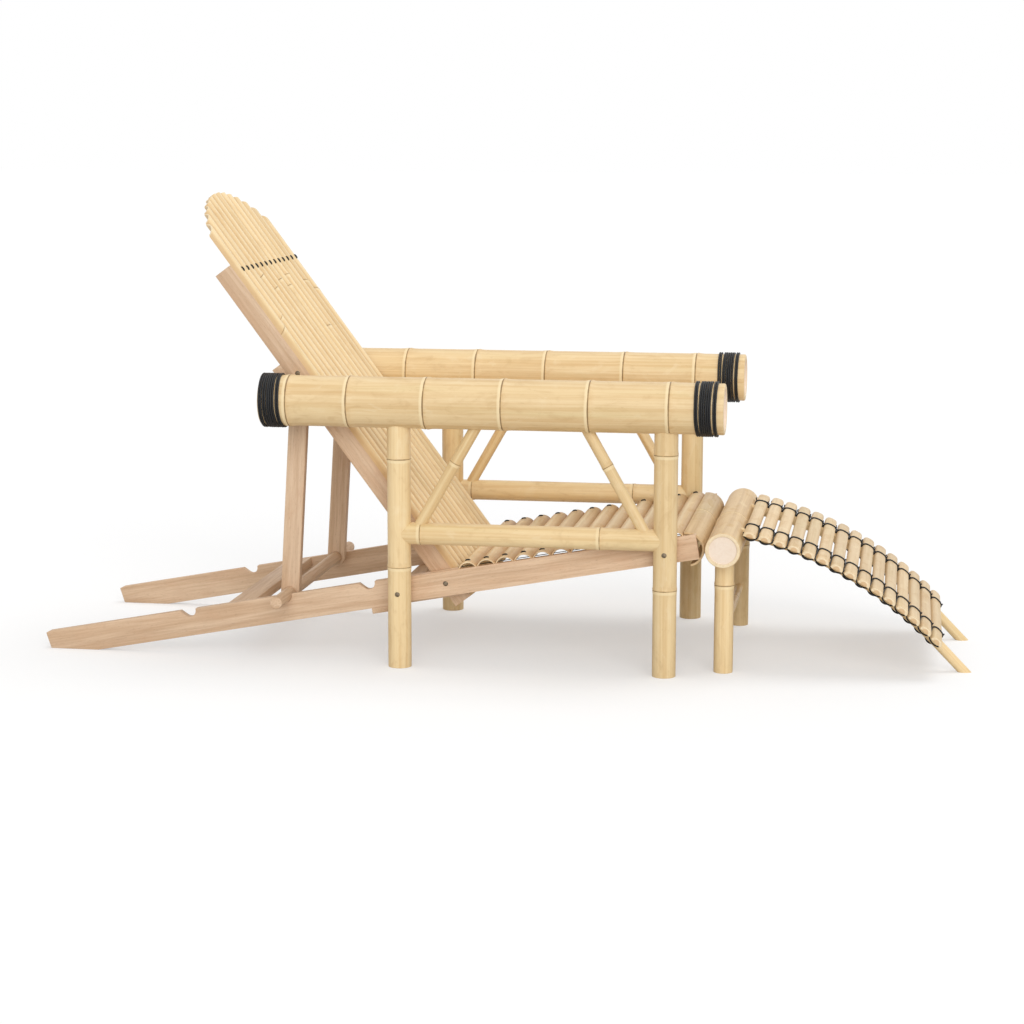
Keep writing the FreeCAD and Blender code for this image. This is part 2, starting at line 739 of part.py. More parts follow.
def pole(grow=0.0):
    """A curved pole: an arc out of the roll, then straight down to the floor and cut flat on it."""
    centre = at(pole_arc_centre_x, pole_arc_centre_z, pole_y)
    end = math.radians(pole_arc_end_deg)
    radius = pole_radius + grow
    first = centre + FreeCAD.Vector(math.sin(pole_start), 0, math.cos(pole_start)) * pole_arc_radius
    heading = FreeCAD.Vector(math.cos(pole_start), 0, -math.sin(pole_start))
    flats = radius * math.cos(math.pi / pole_sides)
    outline = ring_of(first, Y_AXIS, heading.cross(Y_AXIS), flats, pole_sides)
    disc = Part.Face(Part.makePolygon(outline + outline[:1]))
    bend = disc.revolve(centre, Y_AXIS, pole_arc_end_deg - pole_socket_deg)
    last = centre + FreeCAD.Vector(math.sin(end), 0, math.cos(end)) * pole_arc_radius
    down = FreeCAD.Vector(math.cos(end), 0, -math.sin(end))
    tail_length = last.z / math.sin(end) + 2 * radius
    outline = ring_of(last, Y_AXIS, down.cross(Y_AXIS), flats, pole_sides)
    tail = Part.Face(Part.makePolygon(outline + outline[:1])).extrude(down * tail_length)
    whole = bend.fuse(tail)
    reach = 4 * radius
    corner = FreeCAD.Vector(last.x + last.z - reach, pole_y - reach, -reach)
    floor = Part.makeBox(reach * 2, reach * 2, reach, corner)
    return largest(whole.cut(floor))


def build_footrest(pieces):
    roll_start = at(footrest_roll_x, footrest_roll_z, -footrest_roll_half_length)
    roll_end = at(footrest_roll_x, footrest_roll_z, footrest_roll_half_length)
    middle = [footrest_roll_half_length]
    roll = culm(roll_start, roll_end, footrest_roll_radius, middle, node_flank, node_height,
                0.0, footrest_roll_wall, footrest_roll_recess)
    socket = pole(running_clearance)
    pieces["footrest_pole"] = pole()
    roll = roll.cut([socket, mirrored(socket)])

    roll_cutter = rod(roll_start, roll_end, footrest_roll_radius + cope_gap)
    foot = at(footrest_roll_x, 0, footrest_leg_y)
    head = at(footrest_roll_x, footrest_roll_z, footrest_leg_y)
    post = culm(foot, head, footrest_leg_radius, [footrest_leg_node_z], cane_node_flank, cane_node_height)
    pieces["footrest_leg"] = largest(post.cut(roll_cutter))
    posts = [rod(at(footrest_roll_x, 0, y), at(footrest_roll_x, footrest_roll_z, y),
                 footrest_leg_radius + cope_gap) for y in (-footrest_leg_y, footrest_leg_y)]
    bar = rod(at(footrest_roll_x, footrest_stretcher_z, -footrest_leg_y),
              at(footrest_roll_x, footrest_stretcher_z, footrest_leg_y), footrest_stretcher_radius)
    stretcher = largest(bar.cut(posts))

    seat_radius = pole_arc_radius + pole_radius
    first = footrest_slat_first_deg
    last = pole_arc_end_deg - footrest_slat_last_inset_deg
    step = math.radians(last - first) / (footrest_slat_count - 1)
    half_width = (step * (seat_radius + footrest_slat_thickness) - footrest_slat_gap) / 2
    slat = half_round(half_width, footrest_slat_thickness, 2 * footrest_slat_half_length)
    lashing = lashing_form(half_width)
    centre = at(pole_arc_centre_x, pole_arc_centre_z)
    slats = []
    lashings = []
    for i in range(footrest_slat_count):
        angle = math.radians(first) + step * i
        up = FreeCAD.Vector(math.sin(angle), 0, math.cos(angle))
        ahead = FreeCAD.Vector(math.cos(angle), 0, -math.sin(angle))
        seat = centre + up * seat_radius
        slats.append(placed(slat, seat - Y_AXIS * footrest_slat_half_length, Y_AXIS, up))
        lashings.append(placed(lashing, seat + Y_AXIS * pole_y, ahead, up))
    pieces["footrest_lashing"] = Part.makeCompound(lashings)
    return roll, stretcher, slats


def lashing_form(half_width):
    """One cord loop over a slat and under a pole; X runs along the pole, Z up, seat at z = 0."""
    slat_radius = (half_width ** 2 + footrest_slat_thickness ** 2) / (2 * footrest_slat_thickness)
    slat_centre = footrest_slat_thickness - slat_radius
    shoulder = math.radians(lashing_shoulder_deg)
    over = (slat_radius + lashing_slat_gap) / math.cos(shoulder / 3)
    flank_y = (pole_radius + lashing_pole_gap) / math.cos(math.radians(30))
    inner = []
    outward = []
    for share in (-1, -1 / 3, 1 / 3, 1):
        angle = shoulder * share
        x = over * math.sin(angle)
        inner.append(FreeCAD.Vector(x, share * flank_y / 2, slat_centre + over * math.cos(angle)))
        outward.append(FreeCAD.Vector(math.sin(angle), 0, math.cos(angle)))
    under_z = -2 * pole_radius - lashing_pole_gap
    flank_x = lashing_flank_share * half_width
    crossing_x = lashing_crossing_share * half_width
    for x, y, z in ((flank_x, flank_y, -pole_radius), (crossing_x, flank_y / 2, under_z),
                    (-crossing_x, -flank_y / 2, under_z), (-flank_x, -flank_y, -pole_radius)):
        inner.append(FreeCAD.Vector(x, y, z))
        outward.append(FreeCAD.Vector(0, y, z + pole_radius).normalize())
    return cord_loop(inner, outward, lashing_width, lashing_thickness)


def build():
    """Every node's shape, in the side view's own frame."""
    left = {}
    build_frame_culms(left)
    build_boards(left)
    back_slats, stitches = build_back(left)
    left["prop_leg"] = prop_leg()
    roll, footrest_stretcher, footrest_slats = build_footrest(left)
    nodes = {}
    for name, shape in left.items():
        nodes[name + "_l"] = shape
        nodes[name + "_r"] = mirrored(shape)

    front_plank, rear_plank = build_planks()
    nodes["front_cross_plank"] = front_plank
    nodes["rear_cross_plank"] = rear_plank
    slats, cords, front_roll = build_seat()
    nodes["seat_slats"] = Part.makeCompound(slats)
    nodes["seat_cords"] = Part.makeCompound(cords)
    nodes["seat_front_roll"] = front_roll
    nodes["back_slats"] = Part.makeCompound(back_slats)
    nodes["back_stitching"] = Part.makeCompound(stitches)

    between = stile_inner_y - batten_end_gap
    front_n = stile_depth / 2
    inner_n = front_n - batten_depth
    nodes["back_head_batten"] = batten(head_batten_from, batten_width, inner_n, front_n, between)
    nodes["back_middle_batten"] = batten(middle_batten_from, batten_width, inner_n, front_n, between)
    nodes["back_foot_batten"] = batten(foot_batten_from, batten_width, inner_n, front_n, between)
    nodes["back_rear_batten"] = batten(rear_batten_from, rear_batten_width,
                                       -front_n - rear_batten_depth, -front_n, stile_outer_y)

    dowel_end = FreeCAD.Vector(0, dowel_half_length, 0)
    nodes["prop_dowel"] = rod(dowel_centre - dowel_end, dowel_centre + dowel_end, dowel_radius)
    nodes["footrest_roll"] = roll
    nodes["footrest_stretcher"] = footrest_stretcher
    nodes["footrest_slats"] = Part.makeCompound(footrest_slats)

    fastener_pairs(nodes)
    return nodes


def fastener_pairs(nodes):
    """Bolts and nuts, each kind as one group of separate solids."""
    head_on_leg = leg_outer_y - counterbore_depth
    head_on_rail = rail_outer_y - counterbore_depth
    head_on_stile = stile_outer_y - counterbore_depth
    leg_nuts = ((rear_bolt_centre, notched_inner_y), (front_bolt_centre, rail_inner_y))
    pivot_nut_y = stile_inner_y - nut_side_gap
    prop_nut_y = prop_inner_y - nut_side_gap
    leg_bolts = [bolt(c, head_on_leg, y - nut_height - bolt_tip) for c, y in leg_nuts]
    groups = {
        "leg_bolts": leg_bolts,
        "leg_bolt_nuts": [nut(c, y) for c, y in leg_nuts],
        "pivot_bolts": [pivot_bolt(pivot, head_on_rail, pivot_nut_y - nut_height - bolt_tip)],
        "pivot_nuts": [nut(pivot, pivot_nut_y)],
        "prop_pivot_bolts": [pivot_bolt(prop_pivot, head_on_stile, prop_nut_y - nut_height - bolt_tip)],
        "prop_pivot_nuts": [nut(prop_pivot, prop_nut_y)],
    }
    for name, shapes in groups.items():
        nodes[name] = Part.makeCompound(shapes + [mirrored(s) for s in shapes])


def main():
    nodes = build()
    rear = nodes["notched_rail_l"].optimalBoundingBox(False).XMin
    front = nodes["footrest_pole_l"].optimalBoundingBox(False).XMax
    shift = FreeCAD.Vector(-(rear + front) / 2, 0, 0)
    os.makedirs("parts", exist_ok=True)
    for name, shape in nodes.items():
        moved = shape.copy()
        moved.translate(shift)
        moved.exportStep(f"parts/{name}.step")
    for name, place in (("back pivot", pivot), ("prop pivot", prop_pivot)):
        print(f"{name} at x {(place + shift).x:.3f}, z {place.z:.3f}")
    print(f"{len(nodes)} nodes, length {front - rear:.1f}, origin shift {shift.x:.2f}")


main()
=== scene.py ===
# %% [markdown]
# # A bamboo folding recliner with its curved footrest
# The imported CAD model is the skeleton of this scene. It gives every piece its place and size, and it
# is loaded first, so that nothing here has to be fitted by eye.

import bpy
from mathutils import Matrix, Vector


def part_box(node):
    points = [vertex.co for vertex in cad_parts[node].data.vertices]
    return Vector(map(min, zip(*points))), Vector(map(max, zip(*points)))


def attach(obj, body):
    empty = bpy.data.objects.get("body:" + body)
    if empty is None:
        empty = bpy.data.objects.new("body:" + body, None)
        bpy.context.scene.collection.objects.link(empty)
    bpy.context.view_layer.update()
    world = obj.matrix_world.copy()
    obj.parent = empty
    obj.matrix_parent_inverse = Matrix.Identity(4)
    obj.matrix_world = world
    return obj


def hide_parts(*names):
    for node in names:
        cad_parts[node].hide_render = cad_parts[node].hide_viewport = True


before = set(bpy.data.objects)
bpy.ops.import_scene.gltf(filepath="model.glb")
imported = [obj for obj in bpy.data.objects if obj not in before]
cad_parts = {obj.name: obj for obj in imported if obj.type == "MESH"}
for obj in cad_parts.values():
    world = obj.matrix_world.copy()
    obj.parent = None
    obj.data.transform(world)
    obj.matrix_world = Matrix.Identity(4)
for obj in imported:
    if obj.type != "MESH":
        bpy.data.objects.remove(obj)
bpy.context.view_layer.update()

# %% The other modules
import math
import random

import bmesh
import bpy
from mathutils import Matrix, Vector

# %% [markdown]
# ## Places on the chair
# The chair was drawn as a side view in millimetres, with x = 0 at the rear legs. These few helpers
# turn such a place into a point of the scene, in metres. A sloped board or the tilted back gets its
# own helper, so that a slat can be placed by its distance along the board.

# %% Places
MM = 0.001
SIDES = ((1, "l"), (-1, "r"))
SHIFT = -196.15
ARM_Y = 301.0
ARM_Z = 558.0
RAIL_SLOPE = math.radians(10.17)
BACK_ANGLE = math.radians(53.4)
PIVOT_X = 93.1
PIVOT_Z = 174.5


def at(x, y, z):
    """A place of the side view, in millimetres, as a point of the scene."""
    return Vector(((x + SHIFT) * MM, y * MM, z * MM))


def on_rail(u, y, v):
    """u along the seat rail from the back's pivot, v above its centre line."""
    c, s = math.cos(RAIL_SLOPE), math.sin(RAIL_SLOPE)
    return at(PIVOT_X + u * c - v * s, y, PIVOT_Z + u * s + v * c)


def on_back(t, y, n):
    """t up the back from its pivot, n towards the sitter."""
    c, s = math.cos(BACK_ANGLE), math.sin(BACK_ANGLE)
    return at(PIVOT_X - t * c + n * s, y, PIVOT_Z + t * s + n * c)


print("back pivot at", tuple(round(v, 4) for v in on_rail(0, 0, 0)))

# %% [markdown]
# ## Two small tools
# One function puts an object into the scene. The class is a short way to build a network of nodes,
# for materials, the sky and the geometry trees alike: it adds a node, sets its values and joins it in
# one line, so that each network below reads from top to bottom.

# %% Tools
def new_object(name, data, *materials):
    obj = bpy.data.objects.new(name, data)
    bpy.context.scene.collection.objects.link(obj)
    for material in materials:
        data.materials.append(material)
    return obj


class Network:
    """A node tree and a short way to add nodes to it."""

    def __init__(self, tree):
        self.tree = tree
        tree.nodes.clear()

    def node(self, kind, **settings):
        made = self.tree.nodes.new(kind)
        for key, value in settings.items():
            setattr(made, key, value)
        return made

    def put(self, socket, value):
        """Link a socket, or set a plain value."""
        if isinstance(value, bpy.types.NodeSocket):
            self.tree.links.new(value, socket)
        else:
            socket.default_value = value

    def add(self, kind, inputs, output=0, **settings):
        """Add a node, fill in its inputs by name or number, and give back one of its outputs."""
        made = self.node(kind, **settings)
        for key, value in inputs.items():
            self.put(made.inputs[key], value)
        return made.outputs[output]

    def math(self, operation, a, b=0.0, **settings):
        return self.add("ShaderNodeMath", {0: a, 1: b}, operation=operation, **settings)


# %% [markdown]
# ## Camera
# The photograph shows the chair from its side, a little from the front and from above. The camera's
# place, turn and lens were solved from the lengths of the arms, legs and rails. A camera looks along
# its own -Z axis, so its three axes are worked out from yaw, pitch and roll and put in a matrix.

# %% Camera
YAW = math.radians(9.327)
PITCH = math.radians(9.418)
ROLL = math.radians(0.077)
CAMERA_PLACE = Vector((0.84335, -5.1783, 1.1551))
SENSOR, FOCAL_PX, PICTURE_PX = 36.0, 2422.6, 1024
look = Vector((-math.sin(YAW) * math.cos(PITCH), math.cos(YAW) * math.cos(PITCH), -math.sin(PITCH)))
right = Vector((math.cos(YAW), math.sin(YAW), 0))
up = right.cross(look)
cam_x = right * math.cos(ROLL) + up * math.sin(ROLL)
cam_y = up * math.cos(ROLL) - right * math.sin(ROLL)
lens = bpy.data.cameras.new("camera")
lens.sensor_width = SENSOR
lens.lens = SENSOR * FOCAL_PX / PICTURE_PX
lens.clip_end = 60
camera = new_object("camera", lens)
turn = Matrix((cam_x, cam_y, -look)).transposed().to_4x4()
camera.matrix_world = Matrix.Translation(CAMERA_PLACE) @ turn
bpy.context.scene.camera = camera
print("lens", round(lens.lens, 2), "mm")

# %% [markdown]
# ## Floor and light
# The photograph was taken on a white floor that runs into a white background. A wide plane is the
# floor. Only camera rays see it as pure white, so that it doesn't throw too much light back. The
# shadow on it stays, because it is lit like any other surface, but part of what the camera sees is the
# floor's own glow, which lightens the shadow. One soft sun from above gives the shadow, a wide low one
# from the front brightens the sides, and the even sky fills the rest.

# %% Floor
FLOOR_REACH = 40
GLOW_SHARE = 0.40
white = bpy.data.materials.new("white floor")
white.use_nodes = True
net = Network(white.node_tree)
seen = net.add("ShaderNodeBsdfDiffuse", {"Color": (1.0, 1.0, 1.0, 1)})
other = net.add("ShaderNodeBsdfDiffuse", {"Color": (0.70, 0.69, 0.68, 1)})
glow = net.add("ShaderNodeEmission", {"Strength": 1.0})
lifted = net.add("ShaderNodeMixShader", {0: GLOW_SHARE, 1: seen, 2: glow})
from_camera = net.add("ShaderNodeLightPath", {}, "Is Camera Ray")
mixed = net.add("ShaderNodeMixShader", {0: from_camera, 1: other, 2: lifted})
net.put(net.node("ShaderNodeOutputMaterial").inputs["Surface"], mixed)
mesh = bpy.data.meshes.new("floor")
corners = [(x * FLOOR_REACH, y * FLOOR_REACH, 0) for x, y in ((-1, -1), (1, -1), (1, 1), (-1, 1))]
mesh.from_pydata(corners, [], [(0, 1, 2, 3)])
new_object("floor", mesh, white)

# %% Sky and sun
SKY, SUN, FILL = 0.62, 0.80, 1.45
world = bpy.data.worlds.new("studio")
bpy.context.scene.world = world
world.use_nodes = True
net = Network(world.node_tree)
rays = net.node("ShaderNodeLightPath").outputs
mirrored = net.math("ADD", rays["Is Glossy Ray"], rays["Is Transmission Ray"])
any_seen = net.math("ADD", rays["Is Camera Ray"], mirrored, use_clamp=True)
level = net.add("ShaderNodeMapRange", {"Value": any_seen, "To Min": SKY, "To Max": 1.0})
sky = net.add("ShaderNodeBackground", {"Color": (1, 1, 1, 1), "Strength": level})
net.put(net.node("ShaderNodeOutputWorld").inputs["Surface"], sky)


def sun(name, towards, strength, spread):
    """A sun that shines from the given side; spread is its width in degrees."""
    lamp = bpy.data.lights.new(name, "SUN")
    lamp.energy = strength
    lamp.angle = math.radians(spread)
    new_object(name, lamp).rotation_euler = Vector(towards).to_track_quat("Z", "Y").to_euler()


sun("soft sun", (0.30, 0.22, 1.0), SUN, 34)
sun("front fill", (0.28, -1.0, 0.42), FILL, 50)
bpy.context.scene.view_settings.view_transform = "Standard"
print("sky", SKY, "sun", SUN, "fill", FILL)

# %% [markdown]
# ## A place for every point of a piece
# Bamboo and wood have a grain that runs lengthwise, whatever way the piece stands. So each mesh
# carries its own coordinates in an attribute called grain: metres along the fibres, and metres across
# in two directions. The attribute node is the distance to the nearest node of the culm, or FAR where
# there is none close by, and tone is one random number per piece. The materials read these three.

# %% Stamp the attributes
FAR = 10.0
NODE_REACH = 0.0185
dice = random.Random(7)


def store(mesh, name, kind, values):
    """Write one attribute of a mesh's points."""
    layer = mesh.attributes.get(name) or mesh.attributes.new(name, kind, "POINT")
    flat = [c for v in values for c in v] if kind == "FLOAT_VECTOR" else list(values)
    layer.data.foreach_set("vector" if kind == "FLOAT_VECTOR" else "value", flat)


def stamp(mesh, origin, along, upwards, nodes=(), tone=None):
    """Give a mesh its grain, node and tone, from the line that its fibres follow."""
    x = Vector(along).normalized()
    z = (Vector(upwards) - x * Vector(upwards).dot(x)).normalized()
    y = z.cross(x)
    rest = [v.co - origin for v in mesh.vertices]
    store(mesh, "grain", "FLOAT_VECTOR", [(p.dot(x), p.dot(y), p.dot(z)) for p in rest])
    near = []
    for p in rest:
        gap = min([p.dot(x) - n for n in nodes], key=abs, default=FAR)
        near.append(gap if abs(gap) < NODE_REACH else math.copysign(FAR, gap))
    store(mesh, "node", "FLOAT", near)
    tone = dice.random() if tone is None else tone
    store(mesh, "tone", "FLOAT", [tone] * len(mesh.vertices))
    return mesh


# %% [markdown]
# ## Small tools for materials
# Every finish is built the same way: its own coordinates, a few patterns, the colour, the roughness
# and a fine bump. These helpers each make one of those steps. A stain is laid over the colour wherever
# its pattern lies between two limits.

# %% Shader tools
def linear(colour):
    """A colour as read off the photograph, from 0 to 255, in the scene's linear values."""
    values = [c / 255 for c in colour]
    return tuple(c / 12.92 if c <= 0.04045 else ((c + 0.055) / 1.055) ** 2.4 for c in values) + (1.0,)


class Shader(Network):
    """A material with one principled surface."""

    def __init__(self, name):
        self.material = bpy.data.materials.new(name)
        self.material.use_nodes = True
        super().__init__(self.material.node_tree)
        self.skin = self.node("ShaderNodeBsdfPrincipled")
        self.put(self.node("ShaderNodeOutputMaterial").inputs["Surface"], self.skin.outputs[0])

    def attribute(self, name, output="Vector"):
        return self.add("ShaderNodeAttribute", {}, output, attribute_name=name)

    def own_grain(self, tone, shifts):
        """The grain moved by the piece's tone, so that no two pieces look alike."""
        steps = {axis: self.math("MULTIPLY", tone, amount) for axis, amount in shifts.items()}
        shift = self.add("ShaderNodeCombineXYZ", steps)
        return self.add("ShaderNodeVectorMath", {0: self.attribute("grain"), 1: shift}, operation="ADD")

    def stretched(self, vector, scale):
        return self.add("ShaderNodeMapping", {"Vector": vector, "Scale": scale})

    def noise(self, vector, scale, detail, rough, warp=0.0):
        inputs = {"Vector": self.stretched(vector, scale), "Scale": 1.0, "Detail": detail,
                  "Roughness": rough, "Distortion": warp}
        return self.add("ShaderNodeTexNoise", inputs, "Fac")

    def fade(self, value, low, high, to_low=0.0, to_high=1.0):
        """A smooth step of a value between two limits."""
        inputs = {"Value": value, "From Min": low, "From Max": high, "To Min": to_low, "To Max": to_high}
        return self.add("ShaderNodeMapRange", inputs, interpolation_type="SMOOTHSTEP")

    def blend(self, share, a, b):
        return self.add("ShaderNodeMix", {0: share, 6: a, 7: b}, 2, data_type="RGBA", blend_type="MIX")

    def stained(self, colour, *stains):
        """Lay stains over a colour; each is a pattern, the limits of its fade and a colour."""
        for pattern, limits, stain in stains:
            colour = self.blend(self.fade(pattern, *limits), colour, linear(stain))
        return colour

    def toned(self, colour, tone, spread, darkest):
        shade = self.math("ADD", self.math("MULTIPLY", tone, spread), darkest)
        return self.add("ShaderNodeVectorMath", {0: colour, "Scale": shade}, operation="SCALE")

    def bump(self, height, strength, distance, **onto):
        inputs = {"Strength": strength, "Distance": distance, "Height": height, **onto}
        return self.add("ShaderNodeBump", inputs)

    def surface(self, colour, rough, normal, specular=0.5):
        """Join colour, roughness and bump to the surface, which finishes the material."""
        inputs = {"Base Color": colour, "Roughness": rough, "Normal": normal, "Specular IOR Level": specular}
        for label, value in inputs.items():
            self.put(self.skin.inputs[label], value)
        return self.material


# %% [markdown]
# ## Bamboo skin
# A dried culm is straw yellow. Fine fibres run along it, with broader streaks, a touch of green and a
# few short dark flecks. Each node is a thin dark groove. A pale band, where the sheath grew, lies
# before it, and a faint brown one behind it. All of this is made from noise that is stretched along the
# grain, so it fits a culm, a split slat and a thin cane alike, and six calls of one function make the
# skins of arms, canes, rolls, back, seat and footrest. On the slats of the back and seat, painted shade
# darkens each slat towards its edges, where it meets the next, and a painted highlight lightens the
# middle of its crest; edge is the distance from the middle of a slat, in metres.

# %% Bamboo skin
def bamboo_skin(name, base, streak, ring=1.0, gloss=0.42, ring_width=0.0012, edge=0.0):
    s = Shader(name)
    tone = s.attribute("tone", "Fac")
    own = s.own_grain(tone, {0: 5.3, 1: 1.7})
    fibre = s.noise(own, (9, 1100, 1100), 4, 0.6)
    streaks = s.noise(own, (1.6, 95, 95), 4, 0.6)
    broad = s.noise(own, (2.2, 22, 22), 3, 0.5, 0.4)
    cloud = s.noise(own, (16, 38, 38), 5, 0.62, 0.6)
    fleck = s.noise(own, (55, 620, 620), 2, 0.5)
    colour = s.stained(
        linear(base), (streaks, (0.38, 0.70), streak), (broad, (0.52, 0.74, 0, 0.14), (196, 190, 128)),
        (cloud, (0.50, 0.72, 0, 0.34), (198, 160, 108)), (cloud, (0.30, 0.44, 0.30, 0), (250, 232, 194)),
        (fibre, (0.30, 0.75, 0, 0.26), (206, 170, 120)), (fleck, (0.70, 0.78, 0, 0.40), (150, 112, 66)))
    colour = s.toned(colour, tone, 0.14, 0.91)
    gap = s.attribute("node", "Fac")
    wave = s.math("MULTIPLY", s.math("SUBTRACT", cloud, 0.5), 0.004)
    frayed = s.math("ADD", s.math("ABSOLUTE", gap), wave)
    pale = s.math("MULTIPLY", s.fade(gap, -0.009, -0.005), s.fade(gap, -0.0018, -0.0006, 1, 0))
    brown = s.math("MULTIPLY", s.fade(gap, 0.0006, 0.0016), s.fade(gap, 0.003, 0.014, 1, 0))
    line = s.fade(frayed, ring_width * 0.5, ring_width * 1.4, 1, 0)
    for band, share, stain in ((pale, 0.60, (252, 233, 190)), (brown, 0.20, (206, 168, 116)),
                               (line, 0.72, (122, 88, 50))):
        colour = s.blend(s.math("MULTIPLY", band, share * ring), colour, linear(stain))
    # Painted shade darkens each slat towards its edges, where it meets the next slat, and a painted highlight
    # lightens the middle of its crest.
    if edge:
        across = s.add("ShaderNodeSeparateXYZ", {0: s.attribute("grain")}, 1)
        side = s.math("ABSOLUTE", across)
        colour = s.stained(colour, (side, (0.35 * edge, 0.98 * edge, 0, 0.62), (186, 146, 98)),
                           (side, (0.0, 0.45 * edge, 0.35, 0), (255, 240, 204)))
    rough = s.math("ADD", s.math("MULTIPLY", fibre, 0.16), gloss - 0.06)
    rough = s.math("ADD", rough, s.math("MULTIPLY", s.fade(cloud, 0.5, 0.7), 0.12))
    height = s.math("ADD", s.math("MULTIPLY", fibre, 0.5), s.math("MULTIPLY", streaks, 0.5))
    normal = s.bump(height, 0.22, 0.0006)
    normal = s.bump(s.math("MULTIPLY", line, -1.0), 0.5, 0.0009, Normal=normal)
    return s.surface(colour, rough, normal, 0.38)


skin_arm = bamboo_skin("arm bamboo", (241, 214, 166), (224, 190, 138))
skin_cane = bamboo_skin("cane bamboo", (243, 217, 168), (226, 193, 140), 0.85, 0.40, 0.0008)
skin_seat = bamboo_skin("seat bamboo", (224, 196, 152), (204, 172, 128), 0.5, 0.46)
# The back and seat-slat skins get painted shade towards each slat's edges and a painted highlight on its
# crest.
skin_back = bamboo_skin("back bamboo", (243, 217, 170), (234, 204, 154), 0.85, 0.42, 0.0009, 0.0184)
skin_sling = bamboo_skin("seat slat bamboo", (222, 193, 150), (204, 172, 128), 0.5, 0.48, edge=0.0198)
skin_slat = bamboo_skin("footrest slat bamboo", (232, 207, 168), (216, 188, 146), 0.5, 0.5)
print("bamboo skins: 6")

# %% [markdown]
# ## Cut bamboo, node walls and hollows
# A sawn end shows the wall of the culm: pale flesh with darker dots where the fibre bundles are cut.
# On a real culm they are closer together near the skin; here they are spread evenly. The solid ends of
# the footrest's slats are darker in the middle, where the pith was. The node wall inside an arm's end
# is a smooth pinkish disc. The hollow side of a split length is duller than the skin, with long soft
# streaks.

# %% Cut ends and inner faces
def cut_bamboo(name, pith=0.0):
    s = Shader(name)
    grain = s.attribute("grain")
    cells = {"Vector": s.stretched(grain, (300, 1150, 1150)), "Scale": 1.0}
    dot = s.fade(s.add("ShaderNodeTexVoronoi", cells, "Distance", feature="F1"), 0.18, 0.34, 1, 0)
    soft = s.noise(grain, (60, 110, 110), 4, 0.6)
    colour = s.stained(linear((240, 220, 184)), (soft, (0.35, 0.7, 0, 0.5), (216, 190, 152)))
    colour = s.blend(s.math("MULTIPLY", dot, 0.45), colour, linear((196, 162, 118)))
    if pith:
        flat = s.stretched(grain, (0, 1, 1))
        inside = s.add("ShaderNodeVectorMath", {0: flat}, "Value", operation="LENGTH")
        colour = s.stained(colour, (inside, (0.75 * pith, pith, 0.75, 0), (206, 166, 118)))
    return s.surface(colour, s.fade(soft, 0.3, 0.7, 0.62, 0.78), s.bump(dot, 0.25, 0.0004))


def inner_face(name, base, shade):
    s = Shader(name)
    grain = s.attribute("grain")
    streaks = s.noise(grain, (7, 210, 210), 4, 0.6)
    cloud = s.noise(grain, (45, 45, 45), 4, 0.6, 0.5)
    colour = s.stained(linear(base), (streaks, (0.35, 0.7, 0, 0.6), shade),
                       (cloud, (0.5, 0.75, 0, 0.12), (200, 170, 138)))
    return s.surface(colour, s.fade(cloud, 0.3, 0.7, 0.66, 0.84), s.bump(cloud, 0.2, 0.001))


cut_end = cut_bamboo("cut bamboo")
cut_slat = cut_bamboo("cut slat", 0.0085)
node_wall = inner_face("node wall", (238, 221, 203), (233, 213, 192))
hollow = inner_face("hollow side", (224, 198, 158), (200, 168, 124))

# %% [markdown]
# ## Board wood
# The boards of the seat frame, the stiles and the prop are a plain pinkish tan hardwood. Long soft
# bands and fine pores follow the board. The bands come from a noise that is stretched far along the
# grain and slightly bent, and the pores are short dark dashes. The bevelled corners pick up the light,
# as worn edges do.

# %% Board wood
def board_wood(name):
    s = Shader(name)
    tone = s.attribute("tone", "Fac")
    own = s.own_grain(tone, {0: 3.1, 2: 0.9})
    bands = s.noise(own, (1.7, 34, 48), 5, 0.6, 0.9)
    fine = s.noise(own, (10, 260, 380), 4, 0.65)
    pores = s.noise(own, (95, 1400, 1800), 2, 0.5)
    cloud = s.noise(own, (14, 24, 24), 3, 0.5, 0.4)
    colour = s.stained(
        linear((226, 197, 166)), (bands, (0.36, 0.66), (207, 174, 141)),
        (fine, (0.35, 0.72, 0, 0.42), (184, 148, 116)), (cloud, (0.5, 0.72, 0, 0.28), (206, 164, 130)),
        (pores, (0.62, 0.72, 0, 0.42), (140, 104, 76)))
    height = s.math("SUBTRACT", s.math("MULTIPLY", fine, 0.6), s.fade(pores, 0.62, 0.72, 0, 0.6))
    return s.surface(s.toned(colour, tone, 0.10, 0.94), s.fade(fine, 0.3, 0.7, 0.50, 0.66),
                     s.bump(height, 0.28, 0.0005), 0.3)


wood = board_wood("board wood")

# %% [markdown]
# ## Cord and steel
# The bindings are a black waxed cord. Its twist is drawn as a fine wave that winds round the cord:
# the cords carry a lay attribute with the length run and the angle round. The wave is a bump, and in
# the colour it is painted light: a painted sheen lightens each ply's crown and painted shade darkens
# the lay between plies. The bolts are dark blued steel with a worn crown, so their colour and gloss
# change with a small noise.

# %% Cord and steel
def waxed_cord(name):
    s = Shader(name)
    lay = s.attribute("lay")
    parts = s.node("ShaderNodeSeparateXYZ")
    s.put(parts.inputs[0], lay)
    run_length, cosine, sine = parts.outputs
    angle = s.math("ARCTAN2", sine, cosine)
    twist = s.math("ADD", s.math("MULTIPLY", run_length, 2600.0), s.math("MULTIPLY", angle, 3.0))
    ply = s.math("SINE", twist)
    fuzz = s.noise(lay, (900, 3, 3), 3, 0.6)
    # Painted sheen and shade: the ply wave lightens the black along each ply's crown and darkens it between
    # plies; the fuzz is the cord's own lint.
    colour = s.stained(linear((20, 21, 22)), (ply, (-1.0, 1.0), (46, 46, 47)),
                       (fuzz, (0.55, 0.8, 0, 0.5), (66, 63, 60)))
    return s.surface(colour, s.fade(fuzz, 0.3, 0.8, 0.40, 0.62),
                     s.bump(s.math("MULTIPLY", ply, 0.5), 0.35, 0.0004), 0.26)


